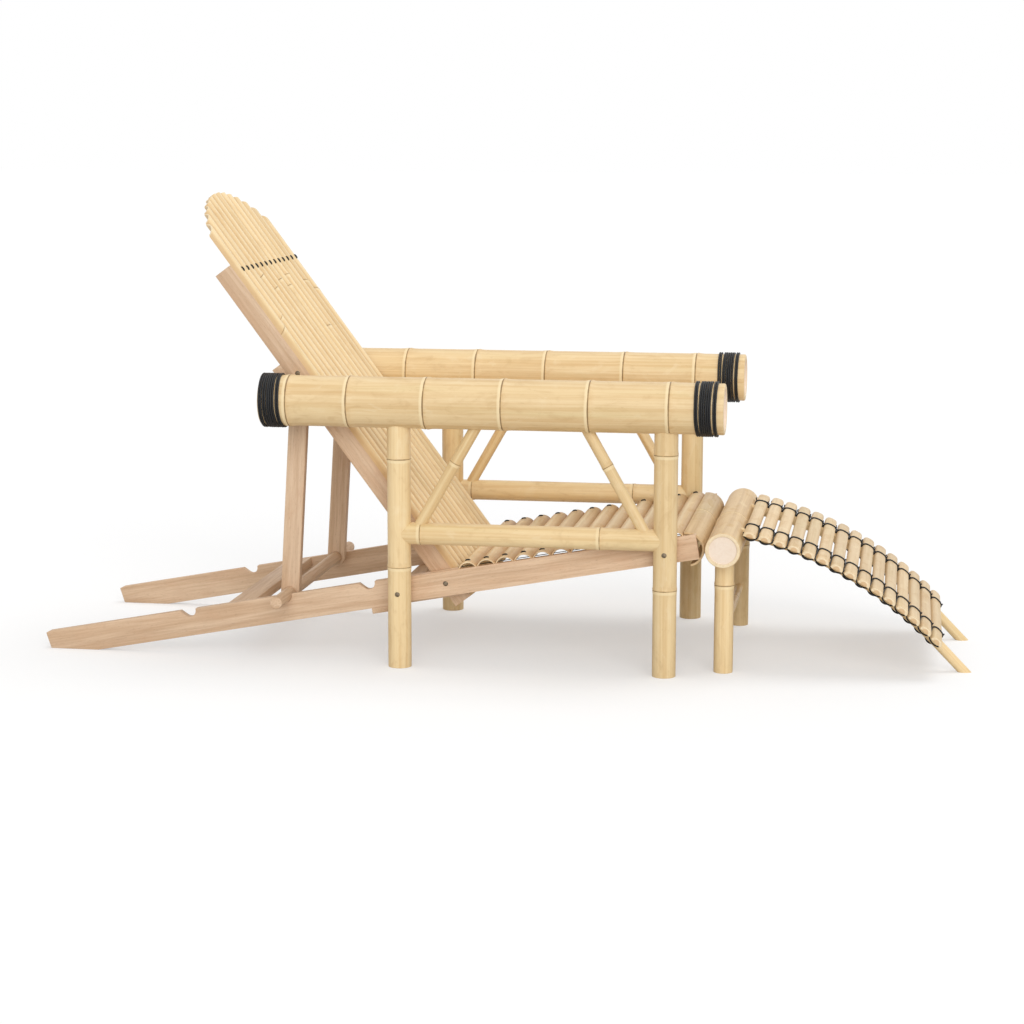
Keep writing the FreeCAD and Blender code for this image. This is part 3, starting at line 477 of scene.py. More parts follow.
def blued_steel(name):
    s = Shader(name)
    place = s.node("ShaderNodeTexCoord").outputs["Object"]
    worn = s.noise(place, (420, 420, 420), 4, 0.6)
    fine = s.noise(place, (2200, 2200, 2200), 2, 0.5)
    s.skin.inputs["Metallic"].default_value = 0.85
    colour = s.stained(linear((112, 100, 84)), (worn, (0.40, 0.66), (158, 142, 118)))
    return s.surface(colour, s.fade(worn, 0.3, 0.7, 0.36, 0.58), s.bump(fine, 0.2, 0.0002))


cord = waxed_cord("black waxed cord")
steel = blued_steel("blued steel")
print("materials:", len(bpy.data.materials))

# %% [markdown]
# ## Pieces and how they are kept
# Every finished piece is a plain mesh in its place, its object at the origin. It rides on the body
# that carries it and hides the CAD node that it stands for. Most are built from rings of points, so
# three small functions join two rings, close the ends and turn all the faces outwards.

# %% Keep a piece
def keep(obj, body, slot, *stands_for):
    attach(obj, body)
    if stands_for:
        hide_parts(*stands_for)
    return obj


def band(base, size):
    """Faces between a ring of points and the next; base is the first ring's first point."""
    nexts = [(j + 1) % size for j in range(size)]
    return [(base + j, base + k, base + size + k, base + size + j) for j, k in enumerate(nexts)]


def lids(count, size):
    """The two faces that close the first and the last ring."""
    return [tuple(reversed(range(size))), tuple(range(count - size, count))]


def closed_mesh(name, verts, faces, kinds=None):
    """A mesh with all its faces turned outwards; kinds are material indices."""
    mesh = bpy.data.meshes.new(name)
    mesh.from_pydata(verts, [], faces)
    if kinds:
        mesh.polygons.foreach_set("material_index", kinds)
    bm = bmesh.new()
    bm.from_mesh(mesh)
    bmesh.ops.recalc_face_normals(bm, faces=bm.faces)
    bm.to_mesh(mesh)
    bm.free()
    return mesh


def smooth(mesh, degrees=38):
    """Smooth shading, with a crease wherever two faces meet more sharply than this."""
    mesh.polygons.foreach_set("use_smooth", [True] * len(mesh.polygons))
    mesh.set_sharp_from_angle(angle=math.radians(degrees))
    mesh.update()


def settle(obj):
    """Turn an object's modifiers into a plain mesh."""
    graph = bpy.context.evaluated_depsgraph_get()
    mesh = bpy.data.meshes.new_from_object(
        obj.evaluated_get(graph), preserve_all_data_layers=True, depsgraph=graph)
    obj.modifiers.clear()
    obj.data = mesh
    return obj


# %% [markdown]
# ## Turning a culm
# A culm is a surface of revolution whose radius follows one rule: plain between the nodes, flared
# close to each of them, with a narrow groove at the node itself. Rings of points are set closer
# together near a node and far apart elsewhere. Where a cane is coped to another culm, each of its
# lengthwise lines is ended where it meets that culm's cylinder, so the end hugs it exactly.

# %% Culm rings
PLAIN_FROM, FLARE_TO, END_CLEAR = 19, 20, 0.4
NEAR_NODE = (-18, -12, -8, -5.5, -4, -3, -2.2, -1.6, -1.1, -0.6, 0, 0.6, 1.1, 1.6, 2.2, 3, 4, 5.5, 8, 12, 18)


def flare(gap, ridge, reach):
    """How far the skin stands out at a distance from a node, all in millimetres."""
    lip = ridge * math.exp(-((abs(gap) / reach) ** 1.4))
    groove = 0.85 * ridge * math.exp(-((gap / (0.16 * reach)) ** 2))
    shoulder = 0.22 * ridge * math.exp(-(((gap - 0.6 * reach) / (0.35 * reach)) ** 2))
    return lip - groove + shoulder


def ring_places(low, high, nodes, step=15.0):
    """Where the rings stand along a culm: evenly, and closer round each node."""
    count = max(2, int((high - low) / step))
    even = [low + (high - low) * i / count for i in range(1, count)]
    wanted = [s for s in even if all(abs(s - n) > PLAIN_FROM for n in nodes)]
    wanted += [n + d for n in nodes for d in NEAR_NODE]
    return sorted(s for s in wanted if low + END_CLEAR < s < high - END_CLEAR)


def meets(origin, direction, trim, last):
    """Where a line crosses a cylinder given by a point, an axis and a radius, or None."""
    centre, axis, radius = trim
    a = Vector(axis).normalized()
    d = direction - a * direction.dot(a)
    m = (origin - centre) - a * (origin - centre).dot(a)
    qa, qb, qc = d.dot(d), 2 * m.dot(d), m.dot(m) - radius * radius
    under = qb * qb - 4 * qa * qc
    if under <= 0:
        return None
    root = math.sqrt(under)
    return (-qb + root) / (2 * qa) if last else (-qb - root) / (2 * qa)


# %% The culm itself
def turned(name, start, end, radius, nodes, sides=48, ridge=1.2, reach=5.0,
           foot_trims=(), head_trims=(), foot=(), head=(), seed=1):
    """A culm between two points in metres; nodes and sizes are in millimetres.

    foot and head list the rings that close an end: (place from the end, radius, material index).
    """
    axis = end - start
    length = axis.length / MM
    x = axis.normalized()
    z = Vector((0, 0, 1)) if abs(x.z) < 0.9 else Vector((1, 0, 0))
    z = (z - x * z.dot(x)).normalized()
    y = z.cross(x)
    wobble = random.Random(seed)
    phases = [wobble.uniform(0, 6.28) for _ in range(4)]
    angles = [2 * math.pi * j / sides for j in range(sides)]
    spokes = [y * math.cos(angle) + z * math.sin(angle) for angle in angles]
    low, high = [], []
    for spoke in spokes:
        line = start + spoke * radius * MM
        first = [meets(line, x, t, True) for t in foot_trims]
        last = [meets(line, x, t, False) for t in head_trims]
        low.append(max([v / MM for v in first if v is not None] + [0.0]))
        high.append(min([v / MM for v in last if v is not None] + [length]))
    verts, faces, kinds = [], [], []

    def ring(places, radii, kind):
        for spoke, s, r in zip(spokes, places, radii):
            verts.append(start + x * (s * MM) + spoke * (r * MM))
        if len(verts) > sides:
            faces.extend(band(len(verts) - 2 * sides, sides))
            kinds.extend([kind] * sides)

    def skin_ring(places, kind):
        radii = []
        for angle, s in zip(angles, places):
            plain = radius * (1 + 0.0035 * math.sin(2 * angle + phases[0] + s / 260)
                              + 0.0020 * math.sin(3 * angle + phases[1]))
            plain += 0.0022 * radius * math.sin(s / 75 + phases[2])
            radii.append(plain + sum(flare(s - n, ridge, reach) for n in nodes if abs(s - n) < FLARE_TO))
        ring(places, radii, kind)

    for place, r, kind in foot:
        ring([place] * sides, [r] * sides, kind)
    if not foot:
        ring(low, [radius * 0.02] * sides, 1)
        skin_ring(low, 1)
    for s in ring_places(max(low), min(high), nodes):
        skin_ring([s] * sides, 0)
    if not head:
        skin_ring(high, 0)
        ring(high, [radius * 0.02] * sides, 1)
    for place, r, kind in head:
        ring([length - place] * sides, [r] * sides, kind)
    faces += lids(len(verts), sides)
    kinds += [kinds[0], kinds[-1]]
    mesh = closed_mesh(name, verts, faces, kinds)
    stamp(mesh, start, x, z, [n * MM for n in nodes])
    smooth(mesh)
    return mesh


def rim(radius, rounding):
    """Rings that round over the edge of an end, as (place from the end, radius)."""
    steps = [(0.0, radius - rounding)]
    for i in (1, 2, 3):
        angle = math.pi / 2 * i / 3
        steps.append((rounding * (1 - math.cos(angle)), radius - rounding + rounding * math.sin(angle)))
    return steps


def sunk_end(radius, wall, depth, rounding):
    """Rings of an open end whose node wall lies a little inside."""
    bore = radius - wall
    rings = [(depth, 0.4, 2), (depth, bore - 1.2, 2), (depth - 1.0, bore, 2),
             (0.8, bore, 1), (0.0, bore + 0.8, 1)]
    return rings + [(s, r, 0 if s else 1) for s, r in rim(radius, rounding)]


def sawn_foot(radius, wall, edge, lift):
    """Rings of a foot that is sawn flat, with its sharp edge taken off."""
    return [(0.0, 0.4, 1), (0.0, radius - wall, 1), (0.0, radius - edge, 1), (lift, radius - 0.2, 0)]


# %% [markdown]
# ## Armrests
# The two arms are the thickest culms, 105 mm across, with a node every 130 to 180 mm. At both ends a
# node's wall closes the tube a little way in, and the rim is rounded over.

# %% Armrests
ARM_NODES = (-229.0, -101.0, 60.5, 222.0, 401.0, 565.0)
ARM_FROM, ARM_TO, ARM_R = -288.5, 676.0, 52.5
for side, tag in SIDES:
    tip = sunk_end(ARM_R, 10.0, 9.0, 3.2)
    low, high = at(ARM_FROM, side * ARM_Y, ARM_Z), at(ARM_TO, side * ARM_Y, ARM_Z)
    mesh = turned("armrest_culm_" + tag, low, high, ARM_R, [n - ARM_FROM for n in ARM_NODES],
                  72, 1.9, 8.0, foot=tip, head=tip[::-1], seed=11 + side)
    arm = new_object("armrest_culm_" + tag, mesh, skin_arm, cut_end, node_wall)
    keep(arm, "frame", "arm_culm", "armrest_" + tag)
    print(arm.name, len(mesh.polygons), "faces")

# %% [markdown]
# ## Legs, stretchers and braces
# The legs stand on sawn feet and are coped into the arm above them. The stretcher runs between the
# legs of one side, coped at both ends, and two thin canes slant from it up to the arm. A trim is the
# cylinder of the culm that a cane meets, written as a point, a direction and a radius.

# %% Legs and canes of the sides
LEG_R, CANE_R, BRACE_R = 24.5, 23.0, 12.0
FRONT_X, STRETCHER_Z = 557.0, 284.5
LEGS = (("rear_leg", 0.0, (213.0, 441.0), 157.8), ("front_leg", FRONT_X, (181.5, 462.0), 257.7))
X_AXIS, ACROSS, Z_AXIS = Vector((1, 0, 0)), Vector((0, 1, 0)), Vector((0, 0, 1))
TRIM_GAP = 0.1


def side_canes(side, tag):
    def mid(x, z):
        return at(x, side * ARM_Y, z)

    arm_trim = (mid(0, ARM_Z), X_AXIS, (ARM_R + TRIM_GAP) * MM)
    bar_trim = (mid(0, STRETCHER_Z), X_AXIS, (CANE_R + TRIM_GAP) * MM)
    leg_trims = {x: (mid(x, 0), Z_AXIS, (LEG_R + TRIM_GAP) * MM) for _, x, _, _ in LEGS}
    made = {}
    for name, x, nodes, _ in LEGS:
        made[name] = turned(name, mid(x, 0), mid(x, ARM_Z), LEG_R, nodes, head_trims=[arm_trim],
                            foot=sawn_foot(LEG_R, 5.5, 1.0, 0.35), seed=int(x) + side + 40)
    made["side_stretcher"] = turned(
        "side_stretcher", mid(0, STRETCHER_Z), mid(FRONT_X, STRETCHER_Z), CANE_R, (47.0, 423.0),
        foot_trims=[leg_trims[0.0]], head_trims=[leg_trims[FRONT_X]], seed=61 + side)
    for name, x, way in (("rear_brace", 0.0, 1), ("front_brace", FRONT_X, -1)):
        low, high = mid(x + way * 34, STRETCHER_Z), mid(x + way * 190, ARM_Z)
        node = (high - low).length / MM * 0.55
        made[name] = turned(name, low, high, BRACE_R, (node,), 32, 0.9, 4.0,
                            foot_trims=[bar_trim, leg_trims[x]], head_trims=[arm_trim], seed=71 + side)
    for name, mesh in made.items():
        obj = new_object(name + "_cane_" + tag, mesh, skin_cane, cut_end)
        keep(obj, "frame", "leg_culm", name + "_" + tag)
    return made


for side, tag in SIDES:
    canes = side_canes(side, tag)
    print("side", tag, {n: len(m.polygons) for n, m in canes.items()})

# %% [markdown]
# ## Boards
# The boards have the exact outline of the CAD, with its notches and bolt holes, so a copy of that
# mesh is used. Its loose triangles are merged into whole faces, and a small bevel rounds the corners
# as sandpaper does. The grain follows the longest way of each board.

# %% Soften a copy of a CAD node
def bevelled(obj, width, limit):
    """Round over every edge that is sharper than the limit, in degrees."""
    bevel = obj.modifiers.new("edges", "BEVEL")
    bevel.width = width * MM
    bevel.segments = 2
    bevel.limit_method = "ANGLE"
    bevel.angle_limit = math.radians(limit)
    return settle(obj)


def softened(node, name, width, material, along):
    """A bevelled copy of a CAD node, with its grain along the given direction."""
    bm = bmesh.new()
    bm.from_mesh(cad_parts[node].data)
    bmesh.ops.remove_doubles(bm, verts=bm.verts, dist=2e-6)
    bmesh.ops.dissolve_limit(bm, angle_limit=math.radians(1.0), verts=bm.verts, edges=bm.edges)
    clean = bpy.data.meshes.new(name)
    bm.to_mesh(clean)
    bm.free()
    obj = new_object(name, clean, material)
    if width:
        bevelled(obj, width, 50)
    low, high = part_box(node)
    x = along.normalized()
    stamp(obj.data, (low + high) / 2, x, ACROSS if abs(x.y) < 0.9 else Z_AXIS)
    smooth(obj.data, 32)
    return obj


# %% The wooden boards
rail_way = on_rail(1, 0, 0) - on_rail(0, 0, 0)
back_way = on_back(1, 0, 0) - on_back(0, 0, 0)
NOTCHED_SLOPE = math.radians(10.5)
notched_way = Vector((math.cos(NOTCHED_SLOPE), 0, math.sin(NOTCHED_SLOPE)))
dowel_low, dowel_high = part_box("prop_dowel")
dowel_mid = (dowel_low + dowel_high) / 2
prop_way = on_back(540, 0, 0) - dowel_mid
prop_way.y = 0
BOARDS = {"front_cross_plank": ("frame", ACROSS), "rear_cross_plank": ("frame", ACROSS)}
for place in ("head", "middle", "foot", "rear"):
    BOARDS[f"back_{place}_batten"] = ("back", ACROSS)
for _, tag in SIDES:
    BOARDS["seat_rail_" + tag] = ("frame", rail_way)
    BOARDS["notched_rail_" + tag] = ("frame", notched_way)
    BOARDS["back_stile_" + tag] = ("back", back_way)
    BOARDS["prop_leg_" + tag] = ("prop", prop_way)
for node, (body, way) in BOARDS.items():
    keep(softened(node, node + "_board", 0.9, wood, way), body, "board_wood", node)
print("boards:", len(BOARDS))

# %% [markdown]
# ## Sockets for the leg bolts
# Each leg is bolted to the seat rail behind it, and the round head sits in a shallow socket. A short
# cylinder is taken out of the leg with a Boolean. The new faces have no grain of their own yet, so
# the leg is stamped once more afterwards.

# %% Bolt sockets
SOCKET_R, SOCKET_DEPTH = 5.4, 5.0


def cylinder(name, start, end, radius, sides=28):
    """A plain capped cylinder between two points, used as a cutter."""
    x = (end - start).normalized()
    z = Vector((0, 0, 1)) if abs(x.z) < 0.9 else Vector((1, 0, 0))
    y = z.cross(x).normalized()
    z = x.cross(y)
    verts = []
    for centre in (start, end):
        for j in range(sides):
            angle = 2 * math.pi * j / sides
            verts.append(centre + (y * math.cos(angle) + z * math.sin(angle)) * radius)
    return closed_mesh(name, verts, band(0, sides) + lids(2 * sides, sides))


for side, tag in SIDES:
    for name, x, nodes, bolt_z in LEGS:
        leg = bpy.data.objects[name + "_cane_" + tag]
        ends = [at(x, side * (ARM_Y + LEG_R) + way * side * SOCKET_DEPTH, bolt_z) for way in (-1, 1)]
        drill = new_object("drill", cylinder("drill", *ends, SOCKET_R * MM))
        cut = leg.modifiers.new("socket", "BOOLEAN")
        cut.operation = "DIFFERENCE"
        cut.solver = "EXACT"
        cut.object = drill
        tone = leg.data.attributes["tone"].data[0].value
        settle(leg)
        stamp(leg.data, at(x, side * ARM_Y, 0), Z_AXIS, X_AXIS, [n * MM for n in nodes], tone)
        smooth(leg.data)
        bpy.data.objects.remove(drill)
print("leg faces after drilling:", len(leg.data.polygons))

# %% [markdown]
# ## Dowel and footrest culms
# The prop's dowel is a turned stick with rounded ends. The footrest hangs on a thick culm of its own,
# whose sunk ends show the pinkish node wall, and stands on two legs joined by a thin rod.

# %% Dowel
DOWEL_R, DOWEL_HALF = 13.0, 0.340
tip = [(0.0, 0.4, 0)] + [(s, r, 0) for s, r in rim(DOWEL_R, 2.5)]
mesh = turned("prop_dowel_bar", dowel_mid - ACROSS * DOWEL_HALF, dowel_mid + ACROSS * DOWEL_HALF, DOWEL_R,
              (), 40, foot=tip, head=tip[::-1], seed=5)
keep(new_object("prop_dowel_bar", mesh, wood), "prop", "board_wood", "prop_dowel")

# %% Footrest roll and legs
ROLL_X, ROLL_Z, ROLL_R, ROLL_HALF = 675.0, 267.5, 36.5, 304.0
FOOT_Y, FOOT_R, ROD_R, ROD_Z = 240.5, 20.0, 8.0, 90
tip = sunk_end(ROLL_R, 7.5, 3.6, 1.3)
mesh = turned("footrest_roll_culm", at(ROLL_X, -ROLL_HALF, ROLL_Z), at(ROLL_X, ROLL_HALF, ROLL_Z), ROLL_R,
              (ROLL_HALF - 34.0,), 64, 1.5, 7.0, foot=tip, head=tip[::-1], seed=21)
roll = new_object("footrest_roll_culm", mesh, skin_seat, cut_end, node_wall)
keep(roll, "footrest", "seat_bamboo", "footrest_roll")
roll_trim = (at(ROLL_X, 0, ROLL_Z), ACROSS, (ROLL_R + TRIM_GAP) * MM)
leg_trims = []
for side, tag in SIDES:
    low, high = at(ROLL_X, side * FOOT_Y, 0), at(ROLL_X, side * FOOT_Y, ROLL_Z)
    mesh = turned("footrest_leg", low, high, FOOT_R, (185.0,), 44, foot=sawn_foot(FOOT_R, 5.0, 0.9, 0.3),
                  head_trims=[roll_trim], seed=31 + side)
    leg = new_object("footrest_leg_cane_" + tag, mesh, skin_cane, cut_end)
    keep(leg, "footrest", "leg_culm", "footrest_leg_" + tag)
    leg_trims.append((low, Z_AXIS, (FOOT_R + TRIM_GAP) * MM))
mesh = turned("footrest_rod", at(ROLL_X, -FOOT_Y, ROD_Z), at(ROLL_X, FOOT_Y, ROD_Z), ROD_R, (150.0, 330.0),
              28, 0.6, 3.0, foot_trims=leg_trims[1:], head_trims=leg_trims[:1], seed=35)
rod = new_object("footrest_rod_cane", mesh, skin_cane, cut_end)
keep(rod, "footrest", "leg_culm", "footrest_stretcher")

# %% [markdown]
# ## Curved poles
# Each pole leaves the roll almost level, bends down along one arc and ends straight, sawn flat on the
# floor. It is a tube along that line. The last ring is slid along the pole until every point of it
# lies on the floor, which gives the long oval foot.

# %% Curved poles
POLE_X, POLE_Z, POLE_BEND, POLE_R, POLE_Y = 558.6, -478.7, 773.6, 10.5, 157.5
POLE_FIRST_DEG, POLE_ARC_DEG, POLE_STEPS = 8.6, 37.3, 26


def on_arc(degrees, radius, y=0.0):
    angle = math.radians(degrees)
    return at(POLE_X + radius * math.sin(angle), y, POLE_Z + radius * math.cos(angle))


def along_arc(degrees):
    angle = math.radians(degrees)
    return Vector((math.cos(angle), 0, -math.sin(angle)))


def pole(name, y, sides=28):
    turns = [POLE_FIRST_DEG + POLE_ARC_DEG * i / POLE_STEPS for i in range(POLE_STEPS + 1)]
    places = [(on_arc(a, POLE_BEND, y), along_arc(a)) for a in turns]
    last, down = places[-1]
    reach = last.z / -down.z
    places += [(last + down * (reach * share), down) for share in (0.25, 0.5, 0.75)]
    places.append((last + down * reach, down))
    verts, faces, grain = [], [], []
    gone = 0.0
    for i, (centre, way) in enumerate(places):
        gone += (centre - places[i - 1][0]).length if i else 0.0
        over = way.cross(ACROSS)
        for j in range(sides):
            angle = 2 * math.pi * j / sides
            r = POLE_R * MM * (1 + 0.008 * math.sin(2 * angle + gone * 9) + 0.006 * math.sin(gone * 31 + y))
            point = centre + (ACROSS * math.cos(angle) + over * math.sin(angle)) * r
            if i == len(places) - 1:
                point = point + way * (point.z / -way.z)
            verts.append(point)
            grain.append((gone, math.cos(angle) * r, math.sin(angle) * r))
        if i:
            faces += band(len(verts) - 2 * sides, sides)
    mesh = closed_mesh(name, verts, faces + lids(len(verts), sides))
    store(mesh, "grain", "FLOAT_VECTOR", grain)
    store(mesh, "node", "FLOAT", [FAR] * len(verts))
    store(mesh, "tone", "FLOAT", [dice.random()] * len(verts))
    smooth(mesh)
    return mesh


for side, tag in SIDES:
    name = "footrest_pole_cane_" + tag
    cane = new_object(name, pole(name, side * POLE_Y), skin_cane)
    keep(cane, "footrest", "leg_culm", "footrest_pole_" + tag)

# %% [markdown]
# ## The split culm over the front of the seat
# A culm with a slot along it is sprung over the front ends of the seat rails. Its CAD shape, with the
# cut-outs for the rails, is right, so a copy is used. It is sliced into rings round its node, and the
# points of its skin are pushed out there by the same rule as on the turned culms.

# %% Front roll
ROLL_NODE, SKIN_FROM = 28.0, 36.2
front = softened("seat_front_roll", "seat_front_roll_culm", 0, skin_seat, ACROSS)
front_axis = on_rail(512.8, 0, -3.6)
bm = bmesh.new()
bm.from_mesh(front.data)
for gap in NEAR_NODE:
    place = Vector((0, (ROLL_NODE + gap) * MM, 0))
    everything = bm.verts[:] + bm.edges[:] + bm.faces[:]
    bmesh.ops.bisect_plane(bm, geom=everything, plane_co=place, plane_no=ACROSS)
for v in bm.verts:
    out = Vector((v.co.x - front_axis.x, 0, v.co.z - front_axis.z))
    gap = v.co.y / MM - ROLL_NODE
    if out.length > SKIN_FROM * MM and abs(gap) < PLAIN_FROM:
        v.co += out.normalized() * (flare(gap, 1.5, 7.0) * MM)
bm.to_mesh(front.data)
bm.free()
bevelled(front, 0.6, 55)
stamp(front.data, at(0, 0, 0), ACROSS, Z_AXIS, [ROLL_NODE * MM])
smooth(front.data, 35)
keep(front, "frame", "seat_bamboo", "seat_front_roll")
print("front roll", len(front.data.polygons), "faces")

# %% [markdown]
# ## Tools for geometry nodes
# Rows of slats, lashings, stitches and wound cords repeat one small thing by a rule, so geometry
# nodes make them. This class builds a tree with named inputs. The function run gives an object such a
# tree, sets the inputs by their identifiers, and keeps the result as a plain mesh.

# %% Geometry node tools
class Tree(Network):
    """A geometry node tree with named inputs."""

    def __init__(self, name, inputs):
        super().__init__(bpy.data.node_groups.new(name, "GeometryNodeTree"))
        face = self.tree.interface
        face.new_socket("Geometry", in_out="OUTPUT", socket_type="NodeSocketGeometry")
        for label, kind in {"Geometry": "Geometry", **inputs}.items():
            face.new_socket(label, in_out="INPUT", socket_type="NodeSocket" + kind)
        self.given = self.node("NodeGroupInput").outputs
        self.out = self.node("NodeGroupOutput")

    def attribute(self, name, kind="FLOAT"):
        made = self.node("GeometryNodeInputNamedAttribute", data_type=kind)
        made.inputs["Name"].default_value = name
        return next(s for s in made.outputs if s.enabled)

    def keep(self, geometry, name, value, kind="FLOAT"):
        """Store a named attribute on the points."""
        made = self.node("GeometryNodeStoreNamedAttribute", data_type=kind, domain="POINT")
        made.inputs["Name"].default_value = name
        self.put(made.inputs["Geometry"], geometry)
        self.put(next(s for s in made.inputs if s.name == "Value" and s.enabled), value)
        return made.outputs["Geometry"]

    def finish(self, geometry, material, **selection):
        inputs = {"Geometry": geometry, "Material": material, **selection}
        return self.add("GeometryNodeSetMaterial", inputs)

    def copies(self, points, thing):
        """Real copies of a geometry on points, each turned by its attribute, and that turn."""
        turn = self.add("FunctionNodeEulerToRotation", {0: self.attribute("turn", "FLOAT_VECTOR")})
        inputs = {"Points": points, "Instance": thing, "Rotation": turn}
        laid = self.add("GeometryNodeInstanceOnPoints", inputs)
        return self.add("GeometryNodeRealizeInstances", {0: laid}), turn

    def end(self, geometry):
        self.put(self.out.inputs["Geometry"], geometry)
        return self.tree


def run(tree, obj, values):
    modifier = obj.modifiers.new(tree.name, "NODES")
    modifier.node_group = tree
    for item in tree.interface.items_tree:
        if item.item_type == "SOCKET" and item.in_out == "INPUT" and item.name in values:
            modifier[item.identifier] = values[item.name]
    settle(obj)
    slots = obj.data.materials
    for index in reversed(range(len(slots))):
        if slots[index] is None:
            slots.pop(index=index)
    return obj


# %% [markdown]
# ## One slat as a pattern
# All slats are split lengths: a low arch of skin over a hollow, or over flat flesh. One slat is drawn
# along x from its sawn end, with a node in it. Each face has a number called kind, for skin, cut
# faces and hollow. The ends are a little smaller, as if sanded.

# %% Slat pattern
SMALLER_ENDS = ((0.0, 0.9), (0.35, 0.25), (1.0, 0.0))
BELOW_STEPS = 8
BLUNTNESS = 0.72


def arch(half_width, height, wall, inset, swell, count):
    """Points across a slat, from one edge over the skin to the other and back below."""
    outer = (half_width ** 2 + height ** 2) / (2 * height)
    middle = height - outer
    reach = math.acos(-middle / outer)
    skin = []
    for i in range(count + 1):
        angle = reach * (2 * i / count - 1)
        r = outer - inset + swell * math.cos(angle * math.pi / 2 / reach * 0.8)
        skin.append((r * math.sin(angle), max(0.0, middle + r * math.cos(angle))))
    inner = outer - wall + inset
    reach = math.acos(-middle / inner)
    below = []
    for i in range(BELOW_STEPS + 1):
        angle = reach * (1 - 2 * i / BELOW_STEPS)
        below.append((inner * math.sin(angle), max(0.0, middle + inner * math.cos(angle))))
    return skin, below


def blunt(half_width, height, inset, count):
    """Points across a solid slat with a flat crown and rounded shoulders."""
    skin = []
    for i in range(count + 1):
        angle = math.pi * (i / count - 0.5)
        across = math.copysign(abs(math.sin(angle)) ** BLUNTNESS * (half_width - inset), angle)
        skin.append((across, max(0.0, math.cos(angle)) ** BLUNTNESS * (height - inset)))
    return skin, []


def slat_pattern(name, half_width, height, wall, length, node, ridge, reach, step=60.0, count=14):
    """One slat along x; a wall of 0 makes a solid one, and kinds are 0 skin, 1 cut and 2 hollow."""
    stations = list(SMALLER_ENDS)
    stations += [(s, 0.0) for s in ring_places(3.0, length - 3.0, (node,) if ridge else (), step)]
    stations += [(length - s, inset) for s, inset in reversed(SMALLER_ENDS)]
    verts, faces, kinds = [], [], []
    for s, inset in stations:
        gap = s - node
        swell = flare(gap, ridge, reach) if ridge and abs(gap) < FLARE_TO else 0.0
        if wall:
            skin, below = arch(half_width, height, wall, inset, swell, count)
        else:
            skin, below = blunt(half_width, height, inset, count)
        verts += [(s * MM, y * MM, z * MM) for y, z in skin + below]
        size = len(skin) + len(below)
        if len(verts) > size:
            faces += band(len(verts) - 2 * size, size)
            hidden = [2.0] * (len(below) - 1) + [1.0] if below else []
            kinds += [0.0] * (len(skin) - 1) + [1.0] + hidden
    mesh = closed_mesh(name, verts, faces + lids(len(verts), size))
    layer = mesh.attributes.new("kind", "FLOAT", "FACE")
    layer.data.foreach_set("value", kinds + [1.0, 1.0])
    store(mesh, "grain", "FLOAT_VECTOR", [tuple(v.co) for v in mesh.vertices])
    smooth(mesh, 40)
    return new_object(name, mesh)


# %% [markdown]
# ## A tree that lays a row of slats
# The tree puts the pattern on each point of a small mesh of points. Each point says how its slat is
# turned, where its node is and which shade it has. After the copies are made real, the tree slides
# the node of every slat to its own place by stretching one part of the slat and shortening the other.

# %% Slat row tree
def slat_row_tree():
    t = Tree("row of slats", {"Slat": "Object", "Pattern node": "Float", "Length": "Float",
                              "Skin": "Material", "Cut": "Material", "Hollow": "Material"})
    given = t.given
    slat = t.add("GeometryNodeObjectInfo", {"Object": given["Slat"]}, "Geometry")
    real, turn = t.copies(given["Geometry"], slat)
    x = t.add("ShaderNodeSeparateXYZ", {0: t.attribute("grain", "FLOAT_VECTOR")})
    goal = t.attribute("node_at")
    start, length = given["Pattern node"], given["Length"]
    before = t.math("DIVIDE", t.math("MULTIPLY", x, goal), start)
    rest = t.math("DIVIDE", t.math("SUBTRACT", length, goal), t.math("SUBTRACT", length, start))
    after = t.math("SUBTRACT", length, t.math("MULTIPLY", t.math("SUBTRACT", length, x), rest))
    pick = {0: t.math("LESS_THAN", x, start), 1: after, 2: before}
    slid = t.add("GeometryNodeSwitch", pick, input_type="FLOAT")
    geometry = t.keep(real, "node", t.math("SUBTRACT", slid, goal))
    step = t.add("ShaderNodeCombineXYZ", {0: t.math("SUBTRACT", slid, x)})
    offset = t.add("FunctionNodeRotateVector", {0: step, 1: turn})
    moved = t.add("GeometryNodeSetPosition", {"Geometry": geometry, "Offset": offset})
    kind = t.attribute("kind")
    geometry = t.finish(moved, given["Skin"])
    geometry = t.finish(geometry, given["Cut"], Selection=t.math("COMPARE", kind, 1.0))
    return t.end(t.finish(geometry, given["Hollow"], Selection=t.math("COMPARE", kind, 2.0)))


slat_row = slat_row_tree()


def row_points(name, rows):
    """Points that carry a turn, a node place in metres and a tone; rows of (point, x, z, node)."""
    mesh = bpy.data.meshes.new(name)
    mesh.from_pydata([r[0] for r in rows], [], [])
    turns, places, tones = [], [], []
    for _, x, z, node in rows:
        x, z = Vector(x).normalized(), Vector(z).normalized()
        turns.append(tuple(Matrix((x, z.cross(x), z)).transposed().to_euler()))
        places.append(node)
        tones.append(dice.random())
    store(mesh, "turn", "FLOAT_VECTOR", turns)
    store(mesh, "node_at", "FLOAT", places)
    store(mesh, "tone", "FLOAT", tones)
    return new_object(name, mesh)


def lay_slats(name, rows, pattern, node, length, skin, cut=cut_end):
    obj = row_points(name, rows)
    run(slat_row, obj, {"Slat": pattern, "Pattern node": node * MM, "Length": length * MM,
                        "Skin": skin, "Cut": cut, "Hollow": hollow})
    bpy.data.objects.remove(pattern)
    print(name, len(obj.data.polygons), "faces", [m.name for m in obj.data.materials])
    return obj


def plane_off(obj):
    """Take the node marks off a row of slats, which are planed smooth."""
    store(obj.data, "node", "FLOAT", [FAR] * len(obj.data.vertices))


